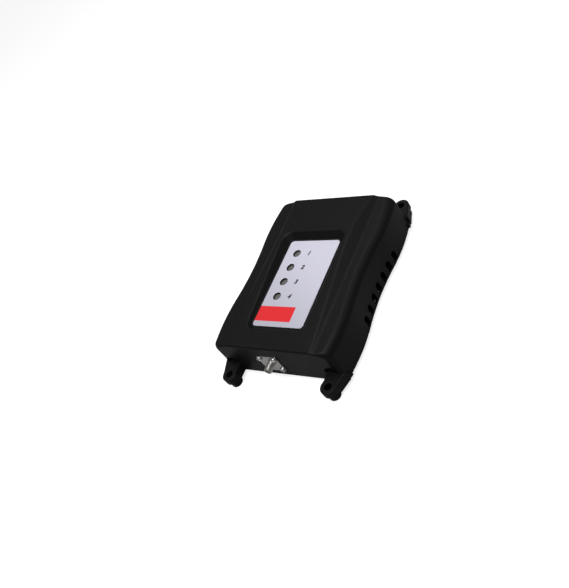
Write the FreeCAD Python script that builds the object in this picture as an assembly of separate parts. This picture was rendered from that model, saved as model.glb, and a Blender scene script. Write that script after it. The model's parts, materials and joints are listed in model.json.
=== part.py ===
import FreeCAD, Part
import math
import os

# Cellular signal booster for a vehicle.
# Frame: origin in the middle, on the plane that the four feet stand on, +X across, +Y along,
# +Z up out of the label. Heights in this script are above the case's rim; main() lifts every piece
# on to its feet.
# The "inside" antenna jack faces -Y, the "outside" antenna jack and the power jack face +Y.
# Millimetres.

Vector = FreeCAD.Vector
X_AXIS = Vector(1, 0, 0)
Y_AXIS = Vector(0, 1, 0)
Z_AXIS = Vector(0, 0, 1)

# ---------------------------------------------------------------- driving dimensions

# Housing, outside
body_length = 148.0            # over the two end walls, at the foot
waist_half_width = 54.9        # half width at the foot, half way along
bulge_depth = 2.9              # swell of each side beyond the waist
bulge_at = 46.0                # fullest point of the swell, from the middle
bulge_radius = 150.0
draft_angle = 1.0              # walls lean in by this on the way up
deck_height = 33.3             # flat shoulders each side of the raised panel
shoulder_radius = 6.5          # roll from the deck into the sides
end_edge_radius = 1.5          # rounding all round the two end walls
wall = 2.6

# Raised centre panel
valley_half_width = 42.3       # where the panel's flanks meet the deck
flank_slope = 0.60             # rise over run
panel_step_near = 1.1          # above the deck, over the -Y end wall
panel_rise = 0.040             # climb from the -Y end to the crest
panel_fall = 0.090             # drop from the crest to the +Y end
crest_at = 37.0                # where the two slopes would meet
crest_radius = 180.0

# Recess and its printed plate
plate_width = 47.6
plate_length = 82.3
plate_thickness = 0.5
plate_corner = 3.0
plate_middle = -11.4           # along Y
recess_floor_drop = 0.9        # below the deck
recess_margin = 1.5            # floor showing round the plate
recess_corner = 4.5
recess_wall_angle = 39.0       # lean of the recess walls from upright
recess_rim_bevel = 0.7

# Four lights in a column
light_count = 4
light_pitch = 13.95
light_column_x = -12.8
light_column_middle = -3.95
light_window_radius = 3.5
light_pipe_clearance = 0.20
light_pipe_sink = 0.7          # top of the pipe below the plate's face
light_shaft_radius = 2.0
light_collar_radius = 4.6
light_collar_height = 1.2
light_foot_gap = 0.3           # over the light-emitting diode
diode_width = 3.2
diode_length = 2.8
diode_height = 1.4

# Mounting ears
ear_spacing_x = 94.0
ear_spacing_y = 168.2
ear_hole_radius = 2.9
ear_boss_radius = 6.6
ear_boss_height = 9.2
ear_edge = 0.8                 # rounding of the ear's top
ear_inner_inset = 0.9          # inner side drawn in from the boss
ear_outer_inset = 0.2          # outer side
ear_root_y = 71.5              # where the ear's outer side meets the side wall
ear_root_proud = 1.8           # beyond the side wall, there
ear_boss_foot = 3.0            # underside of the boss
ear_foot_radius = 4.85
ear_foot_drop = 3.5            # foot below the case's rim
ear_flange_height = 4.0
ear_flange_start = 67.5        # along Y
ear_flange_end = 82.4          # along Y
ear_flange_proud = 1.6         # beyond the side wall, at its start
scoop_radius = 6.6             # clearance for a screw head and driver above each ear
scoop_centre_inset = 7.1       # from the ear's hole back towards the body
scoop_centre_height = 10.5
scoop_steps = 3                # bands that its rounding is drawn with
scoop_flats = 14               # round each band

# Air slots, open at the foot
vent_count = 7
vent_pitch = 10.15
vent_width = 5.0
vent_height = 9.3
vent_middle = 4.2              # along Y
vent_sill = 1.0                # wall left standing under each slot

# Small rounds, such as screws and their holes, are drawn with flats
flat_error = 0.12              # furthest a flat may lie inside its circle

# Inside ribs and screw bosses of the housing
rib_thickness = 1.2
rib_depth = 2.6
rib_foot = 12.0                # lowest point of the ribs
inside_corner_chamfer = 4.0    # between walls and roof
rib_corner_chamfer = 2.0
screw_boss_radius = 3.2
screw_boss_top = 13.0
screw_boss_sink = 0.1          # sunk into the side wall
end_boss_from_middle = 58.0

# Base plate
base_recess = 1.0              # underside of the plate above the foot
base_thickness = 2.0
base_clearance = 0.3
base_corner = 0.8

# Screws into plastic: shank and countersunk head
screw_radius = 1.25
screw_hole_clearance = 0.15
screw_pilot_clearance = 0.10
countersunk_head_radius = 2.2
countersunk_head_height = 1.4
base_screw_length = 9.0

# Main board and its standoffs
board_half_width = 43.5
board_half_length = 65.2
board_thickness = 1.6
board_corner = 2.0
standoff_across_flats = 5.0
standoff_from_edge = 4.2
standoff_spigot_radius = 1.8   # pressed into the base plate
standoff_spigot_depth = 1.2
board_screw_head_radius = 2.3
board_screw_head_height = 1.5
board_screw_length = 6.0

# Antenna jacks
jack_from_middle = 5.0         # across, towards -X on the -Y end
jack_height = 15.5
jack_seat = 72.7               # flat seat let into each end wall, from the middle
jack_seat_margin = 0.3
jack_flange = 18.4
jack_flange_thickness = 1.8
jack_flange_corner = 1.2
jack_screw_spacing = 13.8
jack_screw_length = 7.0
jack_screw_head_radius = 2.3
jack_screw_head_height = 1.6
jack_pad_thickness = 3.6       # thickening behind the wall for the screws
jack_pad_margin = 0.8
jack_thread_radius = 3.175
jack_thread_length = 5.7
jack_relief_radius = 2.7
jack_relief_length = 1.4
jack_mouth_radius = 2.35
jack_mouth_depth = 2.0
jack_bore_radius = 2.05
jack_insulator_reach = 7.0     # inwards from the seat
jack_insulator_clearance = 0.25
contact_radius = 0.635
contact_socket_radius = 0.47
contact_socket_depth = 3.0
contact_pad_length = 3.0       # tail lying on the board
contact_solder_gap = 0.05

# Power jack
power_jack_x = -24.0
power_jack_width = 9.0
power_jack_height = 11.0
power_jack_depth = 16.0
power_jack_face = 73.4         # outer face, from the middle
power_jack_clearance = 0.2
power_hole_radius = 3.1
power_hole_depth = 10.0
power_hole_height = 6.4        # above the board
power_pin_radius = 1.0
power_pin_length = 9.0
power_spring_width = 2.4
power_spring_thickness = 0.4
power_spring_length = 7.0
power_spring_recess = 0.6      # its slot below the round hole

# Radio section on the board
shield_wall = 0.4
shield_height = 5.2
shield_lid_lap = 2.0
shield_lid_gap = 0.1
shield_width = 38.0
shield_from_middle = 17.0      # centre of the shields, across
uplink_shield_length = 52.0
downlink_shield_length = 46.0
shield_spacing = 3.0
downlink_shield_start = -1.0   # -Y edge of the downlink shield
shield_hole_radius = 0.8
shield_hole_count = 4
shield_hole_pitch = 8.0
filter_size = 7.0
filter_height = 2.2
filter_count = 3               # in each shield
filter_pitch = 11.0
filter_from_middle = 6.0       # across
amplifier_size = 9.0
amplifier_height = 1.6
amplifier_from_middle = 27.0   # across
pad_thickness = 0.8
pad_margin = 2.0

# Cooling block between the base plate and the board
spreader_base = 2.4
spreader_width = 36.0
spreader_length = 84.0
spreader_middle = -4.0         # along Y
fin_count = 7
fin_thickness = 1.4
fin_gap_to_board = 2.2

# Power and control section on the board
chip_size = 10.0
chip_height = 1.4
regulator_width = 10.0
regulator_length = 8.8
regulator_height = 4.4
inductor_size = 12.0
inductor_height = 6.0
inductor_corner = 2.0
capacitor_radius = 4.0
capacitor_height = 10.0
capacitor_count = 3
capacitor_pitch = 9.0
power_column_x = -30.0
capacitor_start = 28.0         # along Y, then the rest of the column towards -Y
inductor_y = 14.0
regulator_y = -1.0
chip_y = -20.0

# ---------------------------------------------------------------- worked-out sizes

half_length = body_length / 2.0
lean = math.tan(math.radians(draft_angle))
base_underside = base_recess
base_top = base_recess + base_thickness
board_top = jack_height - contact_radius - contact_solder_gap
board_underside = board_top - board_thickness
panel_height_near = deck_height + panel_step_near
recess_floor_height = deck_height - recess_floor_drop
plate_face = recess_floor_height + plate_thickness
vent_land_y = vent_middle - vent_pitch / 2.0
rib_pitch = 2.0 * light_pitch
light_rows = [light_column_middle + light_pitch * (i - (light_count - 1) / 2.0)
              for i in range(light_count)]
ear_places = [(sx * ear_spacing_x / 2.0, sy * ear_spacing_y / 2.0)
              for sx in (-1, 1) for sy in (-1, 1)]


# ---------------------------------------------------------------- small helpers

def box(x0, x1, y0, y1, z0, z1):
    return Part.makeBox(x1 - x0, y1 - y0, z1 - z0, Vector(x0, y0, z0))


def block_at(x, y, z0, width, length, height):
    return box(x - width / 2.0, x + width / 2.0, y - length / 2.0, y + length / 2.0, z0, z0 + height)


def post(x, y, z0, radius, height):
    return Part.makeCylinder(radius, height, Vector(x, y, z0), Z_AXIS)


def flat_face(points):
    return Part.Face(Part.makePolygon(points + [points[0]]))


def flats_for(radius):
    return 2 * math.ceil(math.pi / math.acos(1.0 - flat_error / radius) / 2.0)


def ring_of_points(radius, z, count):
    angles = [2.0 * math.pi * i / count for i in range(count)]
    return [Vector(radius * math.cos(a), radius * math.sin(a), z) for a in angles]


def turned(points, count=0):
    """Small round piece about Z, drawn with flats; points are (radius, height), going up."""
    count = count or flats_for(max(radius for radius, z in points))
    rings = [ring_of_points(radius, z, count) for radius, z in points]
    faces = [flat_face(rings[0]), flat_face(rings[-1])]
    for low, high in zip(rings, rings[1:]):
        if low[0].z < high[0].z:
            faces += [flat_face([low[i - 1], low[i], high[i], high[i - 1]]) for i in range(count)]
        else:
            wide, narrow = sorted((low, high), key=lambda ring: -ring[0].x)
            faces.append(flat_face(wide).cut(flat_face(narrow)).Faces[0])
    shell = Part.makeShell(faces)
    shell.sewShape()
    return Part.makeSolid(shell)


def small_post(x, y, z0, radius, height):
    return turned([(radius, z0), (radius, z0 + height)]).translated(Vector(x, y, 0))


def rounded_corner(radius, height, rounding, steps):
    """Points of a rounded outer top corner, for a profile about Z."""
    angles = [math.pi / 2.0 * i / steps for i in range(steps + 1)]
    return [(radius - rounding + rounding * math.cos(a), height - rounding + rounding * math.sin(a))
            for a in angles]


def fuse_all(first, others):
    return first.fuse(others).removeSplitter() if others else first


def cut_all(first, others):
    return first.cut(others) if others else first


def edges_where(shape, test):
    return [edge for edge in shape.Edges if test(edge)]


def ends_and_middle(edge):
    middle = edge.valueAt((edge.FirstParameter + edge.LastParameter) / 2.0)
    return [vertex.Point for vertex in edge.Vertexes] + [middle]


def mirrored_x(shape):
    return shape.mirror(Vector(0, 0, 0), X_AXIS)


def mirrored_y(shape):
    return shape.mirror(Vector(0, 0, 0), Y_AXIS)


def turned_end_for_end(shape):
    turned = shape.copy()
    turned.rotate(Vector(0, 0, 0), Z_AXIS, 180.0)
    return turned


def polygon_prism(points, height):
    wire = Part.makePolygon(points + [points[0]])
    return Part.Face(wire).extrude(height)


def cone_face(centre, radius, growth, start, sweep, z0, z1):
    """Upright conical face whose radius changes by growth on the way from z0 to z1; angles in degrees."""
    direction = Vector(math.cos(math.radians(start)), math.sin(math.radians(start)), 0)
    low = centre + direction * radius + Z_AXIS * z0
    high = centre + direction * (radius + growth) + Z_AXIS * z1
    return Part.makeLine(low, high).revolve(centre, Z_AXIS, sweep)


def capped(sides, z0, z1):
    """Solid from upright side faces that close on themselves, with a flat foot and top."""
    caps = []
    for z in (z0, z1):
        rim = [edge for face in sides for edge in face.Edges
               if all(abs(p.z - z) < 1e-6 for p in ends_and_middle(edge))]
        caps.append(Part.Face(Part.Wire(Part.__sortEdges__(rim))))
    shell = Part.makeShell(sides + caps)
    shell.sewShape()
    return Part.makeSolid(shell)


def rounded_block(width, length, corner, middle_y, z0, z1, growth=0.0):
    """Upright block with rounded corners whose outline grows by growth on the way up."""
    a = width / 2.0 - corner
    b = length / 2.0 - corner
    sides = []
    for turn, (cx, cy, nx, ny) in enumerate(((a, b, -a, b), (-a, b, -a, -b), (-a, -b, a, -b), (a, -b, a, b))):
        centre = Vector(cx, middle_y + cy, 0)
        following = Vector(nx, middle_y + ny, 0)
        sides.append(cone_face(centre, corner, growth, 90.0 * turn, 90.0, z0, z1))
        angle = math.radians(90.0 * (turn + 1))
        out = Vector(math.cos(angle), math.sin(angle), 0)
        sides.append(flat_face([centre + out * corner + Z_AXIS * z0, following + out * corner + Z_AXIS * z0,
                                following + out * (corner + growth) + Z_AXIS * z1,
                                centre + out * (corner + growth) + Z_AXIS * z1]))
    return capped(sides, z0, z1)


# ---------------------------------------------------------------- form of the housing

def side_faces(inset, z0, z1, slope):
    """The +X side from beyond the -Y end to beyond the +Y end: swell, waist, swell."""
    centres_apart = (bulge_at ** 2 + bulge_depth ** 2) / (2.0 * bulge_depth)
    swell = bulge_radius - inset
    waist = centres_apart - swell
    swell_centre = Vector(waist_half_width + bulge_depth - bulge_radius, bulge_at, 0)
    waist_centre = Vector(swell_centre.x + math.sqrt(centres_apart ** 2 - bulge_at ** 2), 0, 0)
    taper = (z1 - z0) * slope
    join = math.degrees(math.asin(bulge_at / centres_apart))
    past_end = math.degrees(math.asin((half_length + 4.0 - bulge_at) / bulge_radius))
    far = cone_face(swell_centre, swell, -taper, -join, join + past_end, z0, z1)
    middle = cone_face(waist_centre, waist, taper, 180.0 - join, 2.0 * join, z0, z1)
    return [far, middle, mirrored_y(far)]


def side_half_width(y, inset=0.0):
    """Half width of the outline at the foot, at a place along Y."""
    centres_apart = (bulge_at ** 2 + bulge_depth ** 2) / (2.0 * bulge_depth)
    swell = bulge_radius - inset
    waist = centres_apart - swell
    join_y = bulge_at * (1.0 - swell / centres_apart)
    swell_x = waist_half_width + bulge_depth - bulge_radius
    if abs(y) > join_y:
        return swell_x + math.sqrt(swell ** 2 - (abs(y) - bulge_at) ** 2)
    waist_x = swell_x + math.sqrt(centres_apart ** 2 - bulge_at ** 2)
    return waist_x - math.sqrt(waist ** 2 - y ** 2)


def end_wall_y(z, inset=0.0):
    return half_length - inset - z * lean


def plan_block(inset, z0, z1, slope=lean):
    """Block on the housing's outline, with square corners; its walls lean in by slope."""
    right = side_faces(inset + z0 * slope, z0, z1, slope)
    left = [mirrored_x(face) for face in right]
    closing = []
    for side in (-1, 1):
        line = max(right[0 if side > 0 else 2].Edges, key=lambda e: side * e.CenterOfMass.y
                   if abs(e.Vertexes[0].Z - e.Vertexes[1].Z) > 1e-6 else -1e9)
        low, high = sorted((v.Point for v in line.Vertexes), key=lambda p: p.z)
        closing.append(flat_face([low, high, Vector(-high.x, high.y, high.z), Vector(-low.x, low.y, low.z)]))
    block = capped(right + left + closing, z0, z1)
    reach = waist_half_width + bulge_depth + 1.0
    foot_y = half_length - inset - z0 * slope
    top_y = half_length - inset - z1 * slope
    ends = polygon_prism([Vector(-reach, -foot_y, z0), Vector(-reach, foot_y, z0),
                          Vector(-reach, top_y, z1), Vector(-reach, -top_y, z1)], Vector(2.0 * reach, 0, 0))
    return block.common(ends)


def side_top_edges(form, top):
    def along_side_top(edge):
        points = ends_and_middle(edge)
        return all(abs(p.z - top) < 1e-4 for p in points) and abs(points[0].y - points[1].y) > 1.0

    return edges_where(form, along_side_top)


def inside_tub(inset, chamfer, foot):
    """The drafted body again, smaller by inset, with its shoulders bevelled."""
    top = deck_height - inset
    form = plan_block(inset, foot, top)
    return form.makeChamfer(chamfer, side_top_edges(form, top))


def outside_tub():
    """Drafted body with rolled shoulders, rounded round its two end walls."""
    form = plan_block(0.0, 0.0, deck_height)
    form = form.makeFillet(shoulder_radius, side_top_edges(form, deck_height))

    def in_end_wall(edge):
        points = ends_and_middle(edge)
        flat = all(abs(abs(p.y) - end_wall_y(p.z)) < 1e-3 for p in points)
        return flat and max(p.z for p in points) > 1e-3

    return form.makeFillet(end_edge_radius, edges_where(form, in_end_wall))


def panel_profile(drop, inset):
    """Side view of the raised panel, sharp at its crest and ends."""
    floor = deck_height - end_edge_radius - 0.5 - drop
    near_top = panel_height_near - drop
    crest_z = near_top + panel_rise * (crest_at + half_length)
    far_line_y = half_length
    far_z = crest_z - panel_fall * (far_line_y - crest_at)
    near_y = -end_wall_y(near_top, inset)
    near_z = near_top + panel_rise * (near_y + half_length)
    far_y = end_wall_y(far_z, inset)
    far_z = crest_z - panel_fall * (far_y - crest_at)
    return [Vector(0, -end_wall_y(floor, inset), floor), Vector(0, near_y, near_z),
            Vector(0, crest_at, crest_z), Vector(0, far_y, far_z),
            Vector(0, end_wall_y(floor, inset), floor)]


def panel(drop, inset, rounded):
    """Raised panel: arched along its length, with sloping flanks."""
    reach = valley_half_width + shoulder_radius
    points = [p + Vector(-reach, 0, 0) for p in panel_profile(drop, inset)]
    slab = polygon_prism(points, Vector(2.0 * reach, 0, 0))

    def at_crest(edge):
        return all(abs(p.y - crest_at) < 1e-4 and p.z > deck_height - drop for p in ends_and_middle(edge))

    slab = slab.makeFillet(crest_radius, edges_where(slab, at_crest))
    if rounded:
        def over_an_end(edge):
            points = ends_and_middle(edge)
            across = abs(points[0].x - points[1].x) > reach
            return across and abs(points[0].y) > crest_at + 1.0 and points[0].z > deck_height

        slab = slab.makeFillet(end_edge_radius, edges_where(slab, over_an_end))
    low = deck_height - shoulder_radius - drop
    high = deck_height + shoulder_radius - drop
    foot_x = valley_half_width - inset + (deck_height - drop - low) / flank_slope
    head_x = valley_half_width - inset - (high - deck_height + drop) / flank_slope
    ends = half_length + 5.0
    wedge = polygon_prism([Vector(-foot_x, -ends, low), Vector(foot_x, -ends, low),
                           Vector(head_x, -ends, high), Vector(-head_x, -ends, high)],
                          Vector(0, 2.0 * ends, 0))
    return slab.common(wedge)


def recess(margin_out, depth_below):
    """Tapered pocket round the plate; grown by a wall it is what the inside has to clear."""
    top = deck_height + shoulder_radius
    floor = recess_floor_height - depth_below
    growth = (top - floor) * math.tan(math.radians(recess_wall_angle))
    margin = recess_margin + margin_out
    return rounded_block(plate_width + 2.0 * margin, plate_length + 2.0 * margin, recess_corner + margin_out,
                         plate_middle, floor, top, growth)


def scoop(x, y):
    """Rounded hollow above an ear, flat at the level of the ear's top."""
    towards = 1 if y > 0 else -1
    start = math.asin((ear_boss_height - scoop_centre_height) / scoop_radius)
    angles = [start + (math.radians(84.0) - start) * i / scoop_steps for i in range(scoop_steps + 1)]
    bowl = turned([(scoop_radius * math.cos(a), scoop_centre_height + scoop_radius * math.sin(a))
                   for a in angles], scoop_flats)
    return bowl.translated(Vector(x, y - towards * scoop_centre_inset, 0))


def scoop_cover(x, y):
    """What the cavity leaves standing round a scoop: a post with a bevelled top."""
    towards = 1 if y > 0 else -1
    radius = scoop_radius + wall
    top = scoop_centre_height + radius
    foot = ear_boss_height - wall
    form = turned([(radius, foot), (radius, top - radius / 2.0), (radius / 2.0, top)], 12)
    return form.translated(Vector(x, y - towards * scoop_centre_inset, 0))


def ear():
    """The +X, +Y ear before its hole: a lug, a round boss on a foot, and a low flange on its outer side."""
    x = ear_spacing_x / 2.0
    y = ear_spacing_y / 2.0
    inner = x - ear_boss_radius + ear_inner_inset
    root = half_length - wall - 1.0
    side = side_half_width(ear_root_y) - ear_boss_height * lean + ear_root_proud
    outer = x + ear_boss_radius - ear_outer_inset
    lug = polygon_prism([Vector(inner, root, 0), Vector(inner, y, 0), Vector(outer, y, 0),
                         Vector(side, ear_root_y, 0), Vector(side - 4.0, ear_root_y - 0.6, 0),
                         Vector(x, root, 0)], Vector(0, 0, ear_boss_height))

    def outer_top(edge):
        ends = ends_and_middle(edge)
        return all(abs(p.z - ear_boss_height) < 1e-4 for p in ends) and ends[2].x > x + ear_foot_radius \
            and abs(ends[0].y - ends[1].y) > 2.0

    lug = lug.makeFillet(ear_edge, edges_where(lug, outer_top))
    boss = turned([(ear_boss_radius, ear_boss_foot)]
                  + rounded_corner(ear_boss_radius, ear_boss_height, ear_edge, 2)).translated(Vector(x, y, 0))
    foot = small_post(x, y, -ear_foot_drop, ear_foot_radius, ear_foot_drop + ear_boss_foot + 1.0)
    start_x = side_half_width(ear_flange_start) + ear_flange_proud
    flange = polygon_prism([Vector(start_x, ear_flange_start, 0), Vector(outer, ear_flange_end, 0),
                            Vector(x, ear_flange_end, 0), Vector(start_x - 4.0, ear_flange_start - 0.6, 0)],
                           Vector(0, 0, ear_flange_height))
    return lug.fuse([boss, foot, flange])


def all_corners(shape):
    near = mirrored_y(shape)
    return [shape, mirrored_x(shape), near, mirrored_x(near)]


def vent(y):
    """One air slot with a round head above a low sill, cut right through both side walls."""
    radius = vent_width / 2.0
    straight = vent_height - radius
    count = flats_for(radius) // 2
    angles = [math.pi * i / count for i in range(count + 1)]
    head = [Vector(0, y + radius * math.cos(a), straight + radius * math.sin(a)) for a in angles]
    outline = [Vector(0, y + radius, vent_sill)] + head + [Vector(0, y - radius, vent_sill)]
    inside = waist_half_width - wall - 2.0
    slots = [polygon_prism([p + Vector(side * inside, 0, 0) for p in outline],
                           Vector(side * (wall + bulge_depth + 4.0), 0, 0)) for side in (-1, 1)]
    return Part.makeCompound(slots)


def boss_places():
    """Six screws: two by each end, and one half way along each side on a land between slots."""
    places = []
    for y in (-end_boss_from_middle, vent_land_y, end_boss_from_middle):
        x = side_half_width(y) - wall - screw_boss_radius + screw_boss_sink
        places += [(-x, y), (x, y)]
    return places


def rib_bands(cavity):
    """Ribs that follow the inside of the walls and roof, clear of the light pipes."""
    core = inside_tub(wall + rib_depth, rib_corner_chamfer, 0.0)
    reach = waist_half_width + bulge_depth
    last = int((half_length - light_column_middle) / rib_pitch)
    slabs = []
    for i in range(-last, last + 1):
        y = light_column_middle + i * rib_pitch
        slabs.append(box(-reach, reach, y - rib_thickness / 2.0, y + rib_thickness / 2.0,
                         rib_foot, deck_height + shoulder_radius))
    rings = Part.makeCompound([slab.common(cavity) for slab in slabs])
    return rings.cut(core)


def along_jack(piece):
    """Lay a piece made about Z along the -Y jack's axis, so that its height runs outwards from the seat."""
    laid = piece.copy()
    laid.rotate(Vector(0, 0, 0), X_AXIS, 90.0)
    return laid.translated(Vector(-jack_from_middle, -jack_seat, jack_height))


def jack_screw_places():
    half = jack_screw_spacing / 2.0
    return [(sx * half, sz * half) for sx in (-1, 1) for sz in (-1, 1)]


def jack_square(width, z0, z1):
    return along_jack(block_at(0, 0, z0, width, width, z1 - z0))


def jack_pad():
    """Thickening behind the wall that the jack's screws bite into."""
    return jack_square(jack_flange + 2.0 * jack_pad_margin, -wall - jack_pad_thickness, -wall / 2.0)


def jack_cuts():
    """Seat, middle hole and pilot holes for the -Y antenna jack."""
    seat = jack_square(jack_flange + 2.0 * jack_seat_margin, 0.0, half_length - jack_seat + 1.0)
    depth = jack_insulator_reach
    hole = along_jack(small_post(0, 0, -depth, jack_bore_radius + jack_insulator_clearance, depth + 1.0))
    pilot_depth = jack_screw_length - jack_flange_thickness + 0.4
    pilot = small_post(0, 0, -pilot_depth, screw_radius + screw_pilot_clearance, pilot_depth + 1.0)
    pilots = [along_jack(pilot.translated(Vector(px, pz, 0))) for px, pz in jack_screw_places()]
    return [seat, hole] + pilots


def power_opening():
    half = power_jack_width / 2.0 + power_jack_clearance
    return box(power_jack_x - half, power_jack_x + half, half_length - wall - 2.0, half_length + 1.0,
               board_top - power_jack_clearance, board_top + power_jack_height + power_jack_clearance)


# ---------------------------------------------------------------- case

def make_housing():
    outside = fuse_all(outside_tub(), [panel(0.0, 0.0, True)])
    outside = cut_all(outside, [scoop(x, y) for x, y in ear_places])
    outside = outside.cut(recess(0.0, 0.0))
    outside = outside.makeChamfer(recess_rim_bevel, edges_where(outside, on_recess_rim))
    outside = fuse_all(outside, all_corners(ear()))

    cavity = inside_tub(wall, inside_corner_chamfer, -1.0).fuse(panel(wall, wall, False))
    cavity = cut_all(cavity, [recess(wall, wall)] + [scoop_cover(x, y) for x, y in ear_places])
    shell = outside.cut(cavity)

    bosses = [small_post(x, y, base_top, screw_boss_radius, screw_boss_top - base_top)
              for x, y in boss_places()]
    bosses += [jack_pad(), turned_end_for_end(jack_pad())]
    shell = shell.fuse(bosses + rib_bands(cavity).Solids).removeSplitter()

    cuts = [post(x, y, -ear_foot_drop - 1.0, ear_hole_radius, ear_foot_drop + ear_boss_height + 2.0)
            for x, y in ear_places]
    pilot_top = base_underside + base_screw_length + 1.0
    cuts += [small_post(x, y, 0.0, screw_radius + screw_pilot_clearance, pilot_top) for x, y in boss_places()]
    cuts += [small_post(light_column_x, y, recess_floor_height - wall - 1.0, light_window_radius, wall + 2.0)
             for y in light_rows]
    cuts += [vent(vent_middle + vent_pitch * (i - (vent_count - 1) / 2.0)) for i in range(vent_count)]
    cuts += jack_cuts() + [turned_end_for_end(cut) for cut in jack_cuts()] + [power_opening()]
    return shell.cut(cuts)


def on_recess_rim(edge):
    """Edges where the recess walls come out through the panel's top."""
    points = ends_and_middle(edge)
    spread = math.tan(math.radians(recess_wall_angle))
    for p in points:
        grow = (p.z - recess_floor_height) * spread
        half_x = plate_width / 2.0 + recess_margin + grow
        half_y = plate_length / 2.0 + recess_margin + grow
        corner = recess_corner + grow
        dx = max(abs(p.x) - (half_x - corner), 0.0)
        dy = max(abs(p.y - plate_middle) - (half_y - corner), 0.0)
        if p.z < recess_floor_height + 0.5 or abs(math.hypot(dx, dy) - corner) > 1e-3:
            return False
    along = math.hypot(points[0].x - points[1].x, points[0].y - points[1].y)
    return abs(points[0].z - points[1].z) < 1.0 or along > 10.0


def make_base_plate():
    inset = wall + base_clearance + base_top * lean
    plate = plan_block(inset, base_underside, base_top, 0.0)
    uprights = edges_where(plate, lambda e: abs(e.Vertexes[0].Z - e.Vertexes[1].Z) > 0.5 * base_thickness
                           and abs(e.Vertexes[0].Y) > half_length - inset - 1e-3)
    plate = plate.makeFillet(base_corner, uprights)
    holes = []
    for x, y in boss_places():
        holes.append(small_post(x, y, 0.0, screw_radius + screw_hole_clearance, base_top + 1.0))
        holes.append(countersunk_head(x, y))
    holes += [standoff_spigot(x, y) for x, y in standoff_places()]
    return plate.cut(holes)


def make_label_plate():
    plate = rounded_block(plate_width, plate_length, plate_corner, plate_middle, recess_floor_height,
                          plate_face)
    return plate.cut([small_post(light_column_x, y, recess_floor_height - 1.0, light_window_radius,
                                 plate_thickness + 2.0) for y in light_rows])


def make_light_pipe(y):
    """Head in the window, collar under the floor, shaft down to the light below."""
    under_floor = recess_floor_height - wall
    collar_foot = under_floor - light_collar_height
    head_top = plate_face - light_pipe_sink
    head_radius = light_window_radius - light_pipe_clearance
    shaft_foot = board_top + diode_height + light_foot_gap
    pipe = turned([(light_shaft_radius, shaft_foot), (light_shaft_radius, collar_foot),
                   (light_collar_radius, collar_foot), (light_collar_radius, under_floor),
                   (head_radius, under_floor), (head_radius, head_top)])
    return pipe.translated(Vector(light_column_x, y, 0))


# ---------------------------------------------------------------- screws

def countersunk_head(x, y):
    neck_z = base_underside + countersunk_head_height
    head = turned([(countersunk_head_radius, base_underside), (screw_radius, neck_z)])
    return head.translated(Vector(x, y, 0))


def make_base_screws():
    neck_z = base_underside + countersunk_head_height
    screw = turned([(countersunk_head_radius, base_underside), (screw_radius, neck_z),
                    (screw_radius, base_underside + base_screw_length)])
    return Part.makeCompound([screw.translated(Vector(x, y, 0)) for x, y in boss_places()])


def pan_head_screw(head_radius, head_height, length):
    """Upright screw, its head on top of the level z = 0."""
    bevel = 0.5 * head_height
    return turned([(screw_radius, -length), (screw_radius, 0), (head_radius, 0),
                   (head_radius, head_height - bevel), (head_radius - bevel, head_height)])


def make_board_screws():
    screw = pan_head_screw(board_screw_head_radius, board_screw_head_height, board_screw_length)
    return Part.makeCompound([screw.translated(Vector(x, y, board_top)) for x, y in standoff_places()])


# ---------------------------------------------------------------- main board

def standoff_places():
    x = board_half_width - standoff_from_edge
    y = board_half_length - standoff_from_edge
    return [(sx * x, py) for sx in (-1, 1) for py in (-y, vent_land_y, y)]


def standoff_spigot(x, y):
    """Foot of a standoff, pressed into its hole in the base plate."""
    return small_post(x, y, base_top - standoff_spigot_depth, standoff_spigot_radius, standoff_spigot_depth)


def make_board_standoffs():
    standoffs = []
    for x, y in standoff_places():
        corner_radius = standoff_across_flats / math.sqrt(3.0)
        pillar = turned([(corner_radius, base_top), (corner_radius, board_underside)], 6)
        pillar = pillar.translated(Vector(x, y, 0))
        hole_depth = board_screw_length - board_thickness + 0.4
        hole = small_post(x, y, board_underside - hole_depth, screw_radius + screw_pilot_clearance,
                          hole_depth + 1.0)
        standoffs.append(pillar.fuse(standoff_spigot(x, y)).cut(hole))
    return Part.makeCompound(standoffs)


def make_main_board():
    board = rounded_block(2.0 * board_half_width, 2.0 * board_half_length, board_corner, 0.0,
                          board_underside, board_top)
    return board.cut([small_post(x, y, board_underside - 1.0, screw_radius + screw_hole_clearance,
                                 board_thickness + 2.0) for x, y in standoff_places()])


def on_board(x, y, width, length, height):
    return block_at(x, y, board_top, width, length, height)


def make_status_leds():
    return Part.makeCompound([on_board(light_column_x, y, diode_width, diode_length, diode_height)
                              for y in light_rows])


# ---------------------------------------------------------------- radio section

def shield_spans():
    """Start and length along Y of the uplink shield and of the downlink shield."""
    uplink_start = downlink_shield_start - shield_spacing - uplink_shield_length
    return (uplink_start, uplink_shield_length), (downlink_shield_start, downlink_shield_length)


def shield_box(start, length, grow, z0, z1):
    half = shield_width / 2.0 + grow
    return box(shield_from_middle - half, shield_from_middle + half, start - grow, start + length + grow,
               z0, z1)


def make_shield_frame(span):
    top = board_top + shield_height
    outside = shield_box(*span, 0.0, board_top, top)
    return outside.cut(shield_box(*span, -shield_wall, board_top - 1.0, top + 1.0))


def make_shield_lid(span):
    under = board_top + shield_height
    lid = shield_box(*span, shield_lid_gap + shield_wall, under - shield_lid_lap, under + shield_wall)
    lid = lid.cut(shield_box(*span, shield_lid_gap, under - shield_lid_lap - 1.0, under))
    start, length = span
    middle = start + length / 2.0
    holes = [small_post(shield_from_middle, middle + shield_hole_pitch * (i - (shield_hole_count - 1) / 2.0),
                        under - 1.0, shield_hole_radius, 2.0) for i in range(shield_hole_count)]
    return lid.cut(holes)


def amplifier_y(span):
    return span[0] + span[1] / 2.0


def make_amplifier(span):
    return on_board(amplifier_from_middle, amplifier_y(span), amplifier_size, amplifier_size,
                    amplifier_height)


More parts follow.
